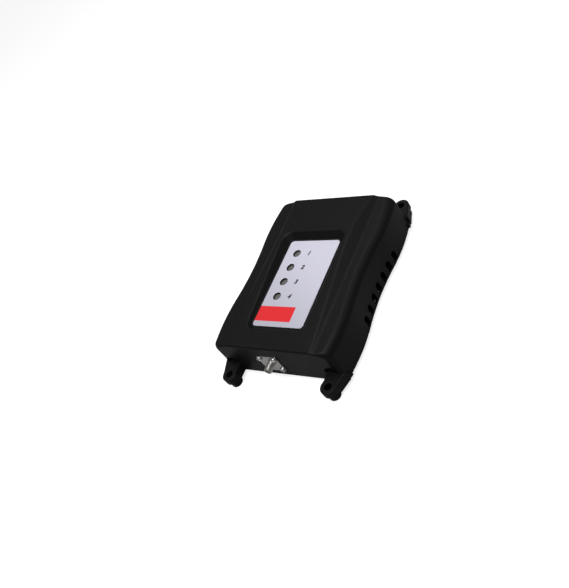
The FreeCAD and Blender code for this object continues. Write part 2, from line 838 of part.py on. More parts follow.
def make_band_filters():
    filters = []
    for span in shield_spans():
        for i in range(filter_count):
            y = amplifier_y(span) + filter_pitch * (i - (filter_count - 1) / 2.0)
            filters.append(on_board(filter_from_middle, y, filter_size, filter_size, filter_height))
    return Part.makeCompound(filters)


# ---------------------------------------------------------------- cooling

def pedestal_block(span, z0, z1):
    size = amplifier_size + 2.0 * pad_margin
    return block_at(amplifier_from_middle, amplifier_y(span), z0, size, size, z1 - z0)


def make_heat_spreader():
    """Finned block on the base plate, with a pedestal under each amplifier."""
    start = spreader_middle - spreader_length / 2.0
    left = shield_from_middle - spreader_width / 2.0
    fin_top = board_underside - fin_gap_to_board
    base = box(left, left + spreader_width, start, start + spreader_length,
               base_top, base_top + spreader_base)
    pitch = (spreader_width - fin_thickness) / (fin_count - 1)
    fins = [box(left + i * pitch, left + i * pitch + fin_thickness, start, start + spreader_length,
                base_top, fin_top) for i in range(fin_count)]
    pedestals = [pedestal_block(span, base_top, board_underside - pad_thickness) for span in shield_spans()]
    return fuse_all(base, fins + pedestals)


def make_thermal_pads():
    return Part.makeCompound([pedestal_block(span, board_underside - pad_thickness, board_underside)
                              for span in shield_spans()])


# ---------------------------------------------------------------- power section

def make_power_inductor():
    return rounded_block(inductor_size, inductor_size, inductor_corner, 0.0, board_top,
                         board_top + inductor_height).translated(Vector(power_column_x, inductor_y, 0))


def make_power_capacitors():
    return Part.makeCompound([small_post(power_column_x, capacitor_start + i * capacitor_pitch, board_top,
                                         capacitor_radius, capacitor_height) for i in range(capacitor_count)])


def along_power_jack(points):
    """Turned form on the power jack's axis; heights run outwards from the bottom of its hole."""
    form = turned(points)
    form.rotate(Vector(0, 0, 0), X_AXIS, -90.0)
    return form.translated(Vector(power_jack_x, power_jack_face - power_hole_depth,
                                  board_top + power_hole_height))


def power_spring_bed():
    return board_top + power_hole_height - power_hole_radius - power_spring_recess


def make_power_jack_body():
    half = power_jack_width / 2.0
    body = box(power_jack_x - half, power_jack_x + half, power_jack_face - power_jack_depth, power_jack_face,
               board_top, board_top + power_jack_height)
    bed_half = power_spring_width / 2.0 + 0.1
    back = power_jack_face - power_hole_depth
    bed = box(power_jack_x - bed_half, power_jack_x + bed_half, back, back + power_spring_length,
              power_spring_bed(), board_top + power_hole_height)
    hole = along_power_jack([(power_hole_radius, 0), (power_hole_radius, power_hole_depth + 1.0)])
    return body.cut([hole, bed])


def make_power_jack_pin():
    bevel = power_pin_radius / 3.0
    return along_power_jack([(power_pin_radius, 0), (power_pin_radius, power_pin_length - bevel),
                             (power_pin_radius - bevel, power_pin_length)])


def make_power_jack_spring():
    half = power_spring_width / 2.0
    back = power_jack_face - power_hole_depth
    bed = power_spring_bed()
    return box(power_jack_x - half, power_jack_x + half, back, back + power_spring_length,
               bed, bed + power_spring_thickness)


# ---------------------------------------------------------------- antenna jacks

def jack_stations():
    """Distances outwards from the seat: start of the thread, open end, bottom of the mouth."""
    thread = jack_flange_thickness + jack_relief_length
    mouth = thread + jack_thread_length
    return thread, mouth, mouth - jack_mouth_depth


def make_jack_body():
    """Flange with four holes and a threaded barrel whose mouth is open."""
    thread, mouth, socket = jack_stations()
    face = jack_flange_thickness
    flange = rounded_block(jack_flange, jack_flange, jack_flange_corner, 0.0, 0.0, face)
    relief = small_post(0, 0, 0.0, jack_relief_radius, thread)
    barrel = post(0, 0, thread, jack_thread_radius, jack_thread_length)
    cuts = [small_post(px, pz, -1.0, screw_radius + screw_hole_clearance, face + 2.0)
            for px, pz in jack_screw_places()]
    cuts += [small_post(0, 0, -1.0, jack_bore_radius, mouth),
             small_post(0, 0, socket, jack_mouth_radius, jack_mouth_depth + 1.0)]
    return along_jack(fuse_all(flange, [relief, barrel]).cut(cuts))


def make_jack_insulator():
    socket = jack_stations()[2]
    inner = -jack_insulator_reach
    sleeve = small_post(0, 0, inner, jack_bore_radius, socket - inner)
    return along_jack(sleeve.cut(small_post(0, 0, inner, contact_radius, socket - inner)))


def make_jack_contact():
    """Centre contact: socket at the mouth, plain tail reaching over the board's edge."""
    socket = jack_stations()[2]
    tail = board_half_length - contact_pad_length - jack_seat
    rod = small_post(0, 0, tail, contact_radius, socket - tail)
    return along_jack(rod.cut(small_post(0, 0, socket - contact_socket_depth, contact_socket_radius,
                                         contact_socket_depth)))


def make_jack_screws():
    screw = pan_head_screw(jack_screw_head_radius, jack_screw_head_height, jack_screw_length)
    return Part.makeCompound([along_jack(screw.translated(Vector(px, pz, jack_flange_thickness)))
                              for px, pz in jack_screw_places()])


# ---------------------------------------------------------------- everything

def all_pieces():
    uplink, downlink = shield_spans()
    pieces = {
        "housing": make_housing(),
        "base_plate": make_base_plate(),
        "base_screws": make_base_screws(),
        "label_plate": make_label_plate(),
        "status_leds": make_status_leds(),
        "main_board": make_main_board(),
        "board_standoffs": make_board_standoffs(),
        "board_screws": make_board_screws(),
        "heat_spreader": make_heat_spreader(),
        "thermal_pads": make_thermal_pads(),
        "uplink_shield_frame": make_shield_frame(uplink),
        "uplink_shield_lid": make_shield_lid(uplink),
        "downlink_shield_frame": make_shield_frame(downlink),
        "downlink_shield_lid": make_shield_lid(downlink),
        "band_filters": make_band_filters(),
        "uplink_amplifier": make_amplifier(uplink),
        "downlink_amplifier": make_amplifier(downlink),
        "control_chip": on_board(power_column_x, chip_y, chip_size, chip_size, chip_height),
        "voltage_regulator": on_board(power_column_x, regulator_y, regulator_width, regulator_length,
                                      regulator_height),
        "power_inductor": make_power_inductor(),
        "power_capacitors": make_power_capacitors(),
        "power_jack_body": make_power_jack_body(),
        "power_jack_pin": make_power_jack_pin(),
        "power_jack_spring": make_power_jack_spring(),
    }
    for i, y in enumerate(reversed(light_rows)):
        pieces["light_pipe_%d" % (i + 1)] = make_light_pipe(y)
    for name, make in (("body", make_jack_body), ("insulator", make_jack_insulator),
                       ("contact", make_jack_contact), ("screws", make_jack_screws)):
        pieces["inside_jack_" + name] = make()
        pieces["outside_jack_" + name] = turned_end_for_end(make())
    return pieces


def main():
    os.makedirs("parts", exist_ok=True)
    for name, shape in all_pieces().items():
        print(name, shape.isValid(), len(shape.Solids), round(shape.Volume, 1))
        shape.translated(Z_AXIS * ear_foot_drop).exportStep("parts/" + name + ".step")


main()
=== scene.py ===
"""Looks of the signal booster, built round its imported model. Lengths are in metres."""

import json
import math

import bmesh
import bpy
import numpy as np
from bpy.props import FloatProperty, FloatVectorProperty, PointerProperty
from mathutils import Matrix, Vector

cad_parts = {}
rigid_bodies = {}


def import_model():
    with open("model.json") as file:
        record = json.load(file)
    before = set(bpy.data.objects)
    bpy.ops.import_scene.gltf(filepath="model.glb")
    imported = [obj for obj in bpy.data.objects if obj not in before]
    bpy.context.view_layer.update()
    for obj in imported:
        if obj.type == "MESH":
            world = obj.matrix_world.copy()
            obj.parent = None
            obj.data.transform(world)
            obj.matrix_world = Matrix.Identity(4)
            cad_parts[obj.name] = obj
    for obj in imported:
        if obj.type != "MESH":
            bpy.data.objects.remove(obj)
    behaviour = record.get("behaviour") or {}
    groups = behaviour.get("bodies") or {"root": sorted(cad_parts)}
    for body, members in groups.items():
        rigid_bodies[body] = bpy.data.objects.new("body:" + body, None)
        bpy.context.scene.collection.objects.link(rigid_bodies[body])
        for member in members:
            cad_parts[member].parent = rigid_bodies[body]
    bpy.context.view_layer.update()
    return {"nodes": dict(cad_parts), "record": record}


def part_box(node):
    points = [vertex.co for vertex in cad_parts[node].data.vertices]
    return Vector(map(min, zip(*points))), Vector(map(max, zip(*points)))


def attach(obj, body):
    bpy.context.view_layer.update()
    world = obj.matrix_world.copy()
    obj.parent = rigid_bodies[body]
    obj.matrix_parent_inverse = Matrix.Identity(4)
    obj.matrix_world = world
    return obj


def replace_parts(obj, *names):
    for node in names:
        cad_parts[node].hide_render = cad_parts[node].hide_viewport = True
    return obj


bl_info = {
    "name": "Signal booster looks",
    "version": (1, 0, 0),
    "blender": (4, 5, 0),
    "location": "View3D > Sidebar > Booster",
    "description": "Case, fittings and finishes of a signal booster, built round its packed model",
    "category": "Object",
}

for leftover in list(bpy.data.objects):
    bpy.data.objects.remove(leftover)

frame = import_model()
nodes = frame["nodes"]
record = frame["record"]

MM = 0.001


# ------------------------------------------------------------------ sizes from the frame

def middle_of(node):
    """Middle of a node's box."""
    low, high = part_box(node)
    return (low + high) / 2.0


FEET = 3.5 * MM
PLATE_LOW, PLATE_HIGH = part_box("label_plate")
PLATE_MIDDLE = (PLATE_LOW + PLATE_HIGH) / 2.0
PLATE_HALF = (PLATE_HIGH - PLATE_LOW) / 2.0
RECESS_FLOOR = PLATE_LOW.z - FEET
JACK = middle_of("inside_jack_contact")
WINDOWS = [middle_of("light_pipe_%d" % number) for number in (1, 2, 3, 4)]
EARS = next(mount["dims"] for mount in record["mounts"] if mount["name"] == "mounting_ears")
EAR = Vector((EARS["spacing_x_mm"], EARS["spacing_y_mm"])) * MM / 2.0
EAR_HOLE_RADIUS = EARS["hole_r_mm"] * MM

# Roundings of edges
FINE_EDGE = 0.1 * MM
CRISP_EDGE = 0.3 * MM
SMALL_EDGE = 0.4 * MM
SOFT_EDGE = 0.5 * MM

# The case, outside
HALF_LENGTH = 74.0 * MM
WAIST_HALF_WIDTH = 54.9 * MM
BULGE_DEPTH = 2.9 * MM
BULGE_AT = 46.0 * MM
BULGE_RADIUS = 150.0 * MM
LEAN = math.tan(math.radians(1.0))
DECK_HEIGHT = 33.3 * MM
SHOULDER_RADIUS = 6.5 * MM
END_EDGE_RADIUS = 1.8 * MM
CORNER_RADIUS = 4.4 * MM
CORNER_FOOT = 9.0 * MM
CORNER_BLEND = 5.0 * MM
CORNER_START = 43.0 * MM
CORNER_END = 53.0 * MM
WALL = 2.6 * MM

# Raised panel
VALLEY_HALF_WIDTH = 42.3 * MM
FLANK_SLOPE = 0.60
PANEL_STEP = 1.1 * MM
PANEL_ROOT = 3.0 * MM
PANEL_RISE = 0.040
PANEL_FALL = 0.090
CREST_AT = 37.0 * MM
CREST_SOFTNESS = 2.44 * MM
VALLEY_RADIUS = 0.7 * MM

# Recess round the label plate
RECESS_MARGIN = 1.5 * MM
RECESS_CORNER = 4.5 * MM
RECESS_SPREAD = math.tan(math.radians(39.0))
WINDOW_RADIUS = 3.5 * MM
WINDOW_HOLE_START = 20.0 * MM

# Ears and the hollows above them
BOSS_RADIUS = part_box("housing")[1].y - EAR.y
BOSS_HEIGHT = 9.2 * MM
EAR_EDGE = 0.8 * MM
EAR_ROOT = 71.5 * MM
EAR_ROOT_PROUD = 1.8 * MM
LUG_INSET = 0.9 * MM
LUG_BURIED = 1.0 * MM
LUG_TIP_INSET = 0.3 * MM
LUG_TIP_REACH = 0.5 * MM
ROOT_DEPTH = 4.0 * MM
ROOT_SKEW = 0.6 * MM
BOSS_FOOT = 3.0 * MM
FOOT_RADIUS = 4.85 * MM
FOOT_BURIED = 1.0 * MM
FLANGE_HEIGHT = 4.0 * MM
FLANGE_START = 67.5 * MM
FLANGE_END = 82.4 * MM
FLANGE_PROUD = 1.6 * MM
FLANGE_INSET = 0.2 * MM
SCOOP_RADIUS = 6.6 * MM
SCOOP_INSET = 7.1 * MM
SCOOP_HEIGHT = 10.5 * MM

# Air slots
VENT_COUNT = 7
VENT_PITCH = 10.15 * MM
VENT_RADIUS = 2.5 * MM
VENT_HEIGHT = 11.0 * MM
VENT_MIDDLE = 4.2 * MM
VENT_SILL = 1.8 * MM
VENT_EDGE = 0.35 * MM
VENT_BEYOND = 2.0 * MM

# Openings in the end walls
JACK_SEAT = 72.7 * MM
JACK_SEAT_HALF = 9.5 * MM
JACK_SEAT_CORNER = 1.0 * MM
JACK_SEAT_EDGE = 0.2 * MM
JACK_HOLE_RADIUS = 2.3 * MM
JACK_HOLE_START = 60.0 * MM

# Antenna jacks; distances along the jack run outwards from its seat
JACK_FLANGE = 18.4 * MM
JACK_FLANGE_CORNER = 1.2 * MM
JACK_FLANGE_EDGE = 0.25 * MM
FLANGE_THICK = 1.8 * MM
JACK_SCREW = 6.9 * MM
SCREW_HOLE_GAP = 0.15 * MM
JACK_REACH = 8.9 * MM
THREAD_RADIUS = 3.175 * MM
THREAD_PITCH = 25.4 * MM / 36.0
THREAD_DEPTH = 0.4 * MM
THREAD_CHAMFER = 0.5 * MM
NECK_RADIUS = 2.7 * MM
NECK_SHORT = 1.0 * MM
RELIEF_LENGTH = 1.4 * MM
MOUTH_RADIUS = 2.35 * MM
MOUTH_DEPTH = 2.0 * MM
BORE_RADIUS = 2.05 * MM
BORE_EDGE = 0.12 * MM
INSULATOR_TAIL = 7.0 * MM
INSULATOR_EDGE = 0.15 * MM
CONTACT_RADIUS = 0.635 * MM
CONTACT_EDGE = 0.08 * MM
SOCKET_RADIUS = 0.47 * MM
SOCKET_DEPTH = 3.0 * MM
JACK_PLACE = Matrix(((1, 0, 0, JACK.x), (0, 0, -1, -JACK_SEAT), (0, 1, 0, JACK.z), (0, 0, 0, 1)))

# Screws
SHANK_RADIUS = 1.25 * MM
PAN_RADIUS = 2.3 * MM
PAN_HEIGHT = 1.6 * MM
PAN_CROWN = 3.0 * PAN_RADIUS
PAN_LENGTH = 7.0 * MM
PAN_OVERLAP = 0.3 * MM
COUNTERSUNK_RADIUS = 2.2 * MM
COUNTERSUNK_HEIGHT = 1.4 * MM
COUNTERSUNK_LENGTH = 9.0 * MM
COUNTERSUNK_OVERLAP = 0.5 * MM
SCREW_CELL = 0.14 * MM

# Cross-shaped drive recess of a screw
CROSS_HALF = 1.5 * MM
CROSS_SLOT = 0.42 * MM
CROSS_DEPTH = 1.2 * MM
CROSS_TAPER = 0.45
CROSS_SIDE_TAPER = 0.2

# Light pipes
SHAFT_RADIUS = 2.0 * MM
COLLAR_RADIUS = 4.6 * MM
COLLAR_HEIGHT = 1.2 * MM
HEAD_RADIUS = 3.3 * MM
HEAD_SINK = 0.8 * MM
HEAD_EDGE = 0.25 * MM

# Label plate
PLATE_CORNER = 3.0 * MM
PLATE_EDGE = 0.15 * MM
PRINT_EDGE = 0.12 * MM
# Painted sheen on the label: its colour runs from darker at the near left to lighter at the far right
PAINTED_SHEEN_START = 24.0 * MM
PAINTED_SHEEN_END = 4.0 * MM
# Bounds of the painted shade on the window walls of the label plate
COLUMN_HALF_WIDTH = 4.5 * MM
COLUMN_BEYOND = 6.0 * MM
BAND_START = 4.7 * MM
BAND_LENGTH = 13.5 * MM
BAND_WIDTH = 34.0 * MM
NUMERAL_OFFSET = 10.6 * MM

# Power jack
POWER_LOW, POWER_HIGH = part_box("power_jack_body")
POWER_X = (POWER_LOW.x + POWER_HIGH.x) / 2.0
POWER_HOLE_HEIGHT = 6.4 * MM
POWER_Z = POWER_LOW.z + POWER_HOLE_HEIGHT
POWER_HOLE_RADIUS = 3.1 * MM
POWER_HOLE_DEPTH = 10.0 * MM
POWER_CORNER = 0.8 * MM
POWER_GAP = 0.2 * MM
POWER_BEYOND = 3.0 * MM
SPRING_BED_HALF_WIDTH = 1.3 * MM
SPRING_BED_HALF_LENGTH = 3.5 * MM
SPRING_BED_HALF_HEIGHT = 1.85 * MM

# Arcs of the side walls
SWELL_X = WAIST_HALF_WIDTH + BULGE_DEPTH - BULGE_RADIUS
CENTRES_APART = (BULGE_AT ** 2 + BULGE_DEPTH ** 2) / (2.0 * BULGE_DEPTH)
WAIST_X = SWELL_X + math.sqrt(CENTRES_APART ** 2 - BULGE_AT ** 2)
WAIST_RADIUS = CENTRES_APART - BULGE_RADIUS


# ------------------------------------------------------------------ forms as distance fields

def meet(a, b, radius=1e-6):
    """Where both forms are, their shared edge rounded."""
    outside = np.hypot(np.maximum(a + radius, 0), np.maximum(b + radius, 0))
    return np.minimum(np.maximum(a, b), -radius) + outside


def join(a, b, radius=1e-6):
    """Where either form is, the corner between them filled."""
    return -meet(-a, -b, radius)


def without(a, b, radius=1e-6):
    """The first form less the second, the edge of the cut rounded."""
    return meet(a, -b, radius)


def ease(value, low, high):
    """0 below low, 1 above high, smooth between."""
    share = np.clip((value - low) / (high - low), 0, 1)
    return share * share * (3.0 - 2.0 * share)


def rounded_rectangle(x, y, half_x, half_y, corner):
    """Distance from a rectangle about the origin, negative inside it."""
    dx = np.abs(x) - (half_x - corner)
    dy = np.abs(y) - (half_y - corner)
    return np.hypot(np.maximum(dx, 0), np.maximum(dy, 0)) + np.minimum(np.maximum(dx, dy), 0) - corner


def polygon(x, y, points):
    """Distance from a closed outline in plan, negative inside it."""
    nearest = np.inf
    inside = np.zeros(np.broadcast(x, y).shape, bool)
    for (ax, ay), (bx, by) in zip(points, points[1:] + points[:1]):
        ex, ey = bx - ax, by - ay
        share = np.clip(((x - ax) * ex + (y - ay) * ey) / (ex * ex + ey * ey), 0, 1)
        nearest = np.minimum(nearest, np.hypot(x - ax - share * ex, y - ay - share * ey))
        crossing = ((ay > y) != (by > y)) & (x < ax + (y - ay) * ex / (ey or 1e-12))
        inside ^= crossing
    return np.where(inside, -nearest, nearest)


def side_wall(x, y, z):
    """Waisted and swollen side walls, leaning in on the way up."""
    x, y = np.abs(x), np.abs(y)
    beyond = (x - SWELL_X) * -BULGE_AT - (y - BULGE_AT) * (WAIST_X - SWELL_X) < 0
    swell = np.hypot(x - SWELL_X, y - BULGE_AT) - BULGE_RADIUS
    waist = WAIST_RADIUS - np.hypot(x - WAIST_X, y)
    return np.where(beyond, swell, waist) + z * LEAN


def end_wall(y, z):
    """Flat end walls, leaning in on the way up."""
    return np.abs(y) - HALF_LENGTH + z * LEAN


def panel_top(y):
    """Height of the raised panel's arched back."""
    near = DECK_HEIGHT + PANEL_STEP + PANEL_RISE * (y + HALF_LENGTH)
    crest = DECK_HEIGHT + PANEL_STEP + PANEL_RISE * (CREST_AT + HALF_LENGTH)
    far = crest - PANEL_FALL * (y - CREST_AT)
    blend = np.maximum(CREST_SOFTNESS - np.abs(near - far), 0) / CREST_SOFTNESS
    return np.minimum(near, far) - blend ** 2 * CREST_SOFTNESS / 4.0


def recess(x, y, z):
    """Tapered pocket round the label plate."""
    half_x = PLATE_HALF.x + RECESS_MARGIN
    half_y = PLATE_HALF.y + RECESS_MARGIN
    outline = rounded_rectangle(x, y - PLATE_MIDDLE.y, half_x, half_y, RECESS_CORNER)
    walls = (outline - (z - RECESS_FLOOR) * RECESS_SPREAD) / math.hypot(1.0, RECESS_SPREAD)
    return meet(walls, RECESS_FLOOR - z, SOFT_EDGE)


def body(x, y, z, crease):
    """Drafted body and its raised panel, before anything is cut into them."""
    tub = meet(side_wall(x, y, z), z - DECK_HEIGHT, SHOULDER_RADIUS)
    flank = z - DECK_HEIGHT - FLANK_SLOPE * (VALLEY_HALF_WIDTH - np.abs(x))
    flank = flank / math.hypot(1.0, FLANK_SLOPE)
    panel = meet(meet(z - panel_top(y), flank, crease), DECK_HEIGHT - PANEL_ROOT - z)
    widening = ease(np.abs(x), CORNER_START, CORNER_END) * ease(z, CORNER_FOOT, CORNER_FOOT + CORNER_BLEND)
    edge = END_EDGE_RADIUS + (CORNER_RADIUS - END_EDGE_RADIUS) * widening
    return meet(join(tub, panel, VALLEY_RADIUS), end_wall(y, z), edge)


def scoops(x, y, z):
    """Round hollows that leave room for a screw and its driver above each ear."""
    centre_y = EAR.y - SCOOP_INSET
    across = (np.abs(x) - EAR.x) ** 2 + (np.abs(y) - centre_y) ** 2
    ball = np.sqrt(across + (z - SCOOP_HEIGHT) ** 2) - SCOOP_RADIUS
    return meet(ball, BOSS_HEIGHT - z)


def side_at(y):
    """Half width of the case at the foot, near its ends."""
    return SWELL_X + math.sqrt(BULGE_RADIUS ** 2 - (y - BULGE_AT) ** 2)


def ears(x, y, z):
    """Four lugs, each with a round boss and a low flange along its outer side."""
    x, y = np.abs(x), np.abs(y)
    inner = EAR.x - BOSS_RADIUS + LUG_INSET
    root = HALF_LENGTH - WALL - LUG_BURIED
    side = side_at(EAR_ROOT) - BOSS_HEIGHT * LEAN + EAR_ROOT_PROUD
    lug = polygon(x, y, [(inner, root), (inner, EAR.y),
                         (EAR.x + BOSS_RADIUS - LUG_TIP_INSET, EAR.y + LUG_TIP_REACH),
                         (side, EAR_ROOT), (side - ROOT_DEPTH, EAR_ROOT - ROOT_SKEW), (EAR.x, root)])
    lug = meet(lug, -z, CRISP_EDGE)
    from_hole = np.hypot(x - EAR.x, y - EAR.y)
    boss = meet(from_hole - BOSS_RADIUS, BOSS_FOOT - z, SMALL_EDGE)
    top = meet(join(lug, boss, CRISP_EDGE), z - BOSS_HEIGHT, EAR_EDGE)
    foot = meet(meet(from_hole - FOOT_RADIUS, -FEET - z, SMALL_EDGE), z - BOSS_FOOT - FOOT_BURIED)
    start = side_at(FLANGE_START) + FLANGE_PROUD
    flange = polygon(x, y, [(start, FLANGE_START), (EAR.x + BOSS_RADIUS - FLANGE_INSET, FLANGE_END),
                            (EAR.x, FLANGE_END), (start - ROOT_DEPTH, FLANGE_START - ROOT_SKEW)])
    flange = meet(meet(flange, z - FLANGE_HEIGHT, SOFT_EDGE), -z, CRISP_EDGE)
    return join(join(top, foot, CRISP_EDGE), flange, SMALL_EDGE)


def vents(x, y, z):
    """Row of slots through both side walls, each above a low sill."""
    half = (VENT_COUNT - 1) // 2
    across = y - VENT_MIDDLE
    across = across - VENT_PITCH * np.clip(np.round(across / VENT_PITCH), -half, half)
    slot = np.hypot(across, np.maximum(z - VENT_HEIGHT + VENT_RADIUS, 0)) - VENT_RADIUS
    return meet(meet(slot, VENT_SILL - z), WAIST_HALF_WIDTH - WALL - VENT_BEYOND - np.abs(x))


def jack_openings(x, y, z):
    """Flat square seat and middle hole in each end wall; the far end is the near one turned round."""
    across = x * np.sign(y) + JACK.x
    up = z - JACK.z + FEET
    square = rounded_rectangle(across, up, JACK_SEAT_HALF, JACK_SEAT_HALF, JACK_SEAT_CORNER)
    seat = meet(square, JACK_SEAT - np.abs(y))
    hole = meet(np.hypot(across, up) - JACK_HOLE_RADIUS, JACK_HOLE_START - np.abs(y))
    return join(seat, hole)


def power_opening(x, y, z):
    """Opening for the power jack in the far end wall, a gap wider than the jack on each side."""
    low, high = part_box("power_jack_body")
    middle = (low + high) / 2.0
    outline = rounded_rectangle(x - middle.x, z - middle.z + FEET, (high.x - low.x) / 2.0 + POWER_GAP,
                                (high.z - low.z) / 2.0 + POWER_GAP, CRISP_EDGE)
    return meet(outline, HALF_LENGTH - WALL - POWER_BEYOND - y)


def case_form(x, y, z, crease, rim):
    """The whole moulded case, lifted on to its feet."""
    z = z - FEET
    solid = body(x, y, z, crease)
    pocket = recess(x, y, z)
    bowls = scoops(x, y, z)
    outside = meet(without(without(solid, bowls, SOFT_EDGE), pocket, rim), -z, CRISP_EDGE)
    cavity = without(without(solid + WALL, pocket - WALL), bowls - WALL)
    shell = join(without(outside, cavity), without(ears(x, y, z), cavity), CRISP_EDGE)
    ear_holes = np.hypot(np.abs(x) - EAR.x, np.abs(y) - EAR.y) - EAR_HOLE_RADIUS
    shell = without(shell, ear_holes, CRISP_EDGE)
    shell = without(shell, vents(x, y, z), VENT_EDGE)
    shell = without(shell, jack_openings(x, y, z), JACK_SEAT_EDGE)
    shell = without(shell, power_opening(x, y, z), CRISP_EDGE)
    for window in WINDOWS:
        hole = meet(np.hypot(x - window.x, y - window.y) - WINDOW_RADIUS, WINDOW_HOLE_START - z)
        shell = without(shell, hole)
    return shell


def cross_recess(x, y, depth):
    """Tapered cross-shaped drive recess; depth is the distance below the face of the head."""
    shrink = CROSS_TAPER * depth
    half = CROSS_HALF - shrink
    slot = CROSS_SLOT - CROSS_SIDE_TAPER * shrink
    arm_x = np.maximum(np.abs(x) - half, np.abs(y) - slot)
    arm_y = np.maximum(np.abs(y) - half, np.abs(x) - slot)
    return meet(np.minimum(arm_x, arm_y), depth - CROSS_DEPTH)


def pan_head_screw(x, y, z):
    """Screw for an antenna jack, about Z, with its head from the level z = 0 upwards."""
    around = np.hypot(x, y)
    crown = np.hypot(around, z - PAN_HEIGHT + PAN_CROWN) - PAN_CROWN
    head = meet(meet(around - PAN_RADIUS, crown, SOFT_EDGE), -z, FINE_EDGE)
    shank = meet(meet(around - SHANK_RADIUS, z - PAN_OVERLAP), -z - PAN_LENGTH, CRISP_EDGE)
    return join(without(head, cross_recess(x, y, PAN_HEIGHT - z), FINE_EDGE), shank, FINE_EDGE)


def countersunk_screw(x, y, z):
    """Screw for the base plate, about Z, with the face of its head at z = 0 and its shank above."""
    around = np.hypot(x, y)
    slope = (COUNTERSUNK_RADIUS - SHANK_RADIUS) / COUNTERSUNK_HEIGHT
    cone = (around - COUNTERSUNK_RADIUS + z * slope) / math.hypot(1.0, slope)
    head = meet(meet(cone, z - COUNTERSUNK_HEIGHT), -z, FINE_EDGE)
    shank = meet(meet(around - SHANK_RADIUS, z - COUNTERSUNK_LENGTH, CRISP_EDGE), COUNTERSUNK_OVERLAP - z)
    return without(join(head, shank, FINE_EDGE), cross_recess(x, y, z), FINE_EDGE)


def thread(x, y, z):
    """Helical ridges about Z; the last factor keeps the steep flanks near a true distance."""
    turn = z / THREAD_PITCH - np.arctan2(y, x) / (2.0 * math.pi)
    ridge = np.abs(turn - np.round(turn)) * 2.0
    return (np.hypot(x, y) - THREAD_RADIUS + THREAD_DEPTH * ridge) * 0.75


def antenna_jack(x, y, z):
    """Antenna jack about Z: square flange on its seat, neck, threaded barrel with an open mouth."""
    half = JACK_FLANGE / 2.0
    around = np.hypot(x, y)
    flange = meet(rounded_rectangle(x, y, half, half, JACK_FLANGE_CORNER),
                  np.abs(z - FLANGE_THICK / 2.0) - FLANGE_THICK / 2.0, JACK_FLANGE_EDGE)
    from_screw = np.hypot(np.abs(x) - JACK_SCREW, np.abs(y) - JACK_SCREW)
    flange = without(flange, from_screw - SHANK_RADIUS - SCREW_HOLE_GAP)
    chamfer = around + z - JACK_REACH - THREAD_RADIUS + THREAD_CHAMFER
    barrel = meet(thread(x, y, z), chamfer, FINE_EDGE)
    barrel = meet(meet(barrel, z - JACK_REACH, FINE_EDGE), FLANGE_THICK + RELIEF_LENGTH - z, FINE_EDGE)
    neck = meet(meet(around - NECK_RADIUS, z - JACK_REACH + NECK_SHORT), -z)
    mouth = meet(around - MOUTH_RADIUS, JACK_REACH - MOUTH_DEPTH - z)
    solid = join(flange, join(neck, barrel), 0.2 * MM)
    return without(solid, join(mouth, around - BORE_RADIUS), BORE_EDGE)


def label_plate(x, y, z):
    """Printed plate with rounded corners and four round windows."""
    plate = meet(rounded_rectangle(x, y - PLATE_MIDDLE.y, PLATE_HALF.x, PLATE_HALF.y, PLATE_CORNER),
                 np.abs(z - PLATE_MIDDLE.z) - PLATE_HALF.z, PLATE_EDGE)
    for window in WINDOWS:
        plate = without(plate, np.hypot(x - window.x, y - window.y) - WINDOW_RADIUS, FINE_EDGE)
    return plate


def power_jack(x, y, z):
    """Moulded socket with a round hole and, under it, the bed of the contact spring."""
    half = (POWER_HIGH - POWER_LOW) / 2.0
    middle = (POWER_HIGH + POWER_LOW) / 2.0
    block = meet(rounded_rectangle(x - middle.x, z - middle.z, half.x, half.z, POWER_CORNER),
                 np.abs(y - middle.y) - half.y, SMALL_EDGE)
    back = POWER_HIGH.y - POWER_HOLE_DEPTH
    hole = meet(np.hypot(x - POWER_X, z - POWER_Z) - POWER_HOLE_RADIUS, back - y)
    bed = np.maximum(np.abs(x - POWER_X) - SPRING_BED_HALF_WIDTH,
                     np.abs(z - POWER_Z + SPRING_BED_HALF_HEIGHT) - SPRING_BED_HALF_HEIGHT)
    bed = meet(bed, np.abs(y - back - SPRING_BED_HALF_LENGTH) - SPRING_BED_HALF_LENGTH)
    return without(block, join(hole, bed), CRISP_EDGE)


# ------------------------------------------------------------------ meshes

SLOPE_STEP = 0.01 * MM
LEAST_SLOPE = 0.05
SHARP_BEND = 0.16
GENTLE_WEIGHT = 10.0
CELLS_AROUND = 2.2
SAME_CORNER = 0.0001 * MM
SHARP_ANGLE = math.radians(32.0)
CORNERS = [(i, j, k) for i in (0, 1) for j in (0, 1) for k in (0, 1)]
CELL_EDGES = [(a, b) for a in range(8) for b in range(a + 1, 8)
              if sum(abs(p - q) for p, q in zip(CORNERS[a], CORNERS[b])) == 1]


def slope_of(form, points):
    """Value of a form at points, and how it changes along X, Y and Z."""
    step = SLOPE_STEP
    x, y, z = points.T
    value = form(x, y, z)
    slope = np.stack([form(x + step, y, z) - form(x - step, y, z),
                      form(x, y + step, z) - form(x, y - step, z),
                      form(x, y, z + step) - form(x, y, z - step)], axis=1) / (2.0 * step)
    return value, slope


def pull_on(form, points, times):
    """Points moved on to the surface of a form."""
    for _ in range(times):
        value, slope = slope_of(form, points)
        length = np.maximum((slope ** 2).sum(1), LEAST_SLOPE)
        points = points - slope * (value / length)[:, None]
    return points


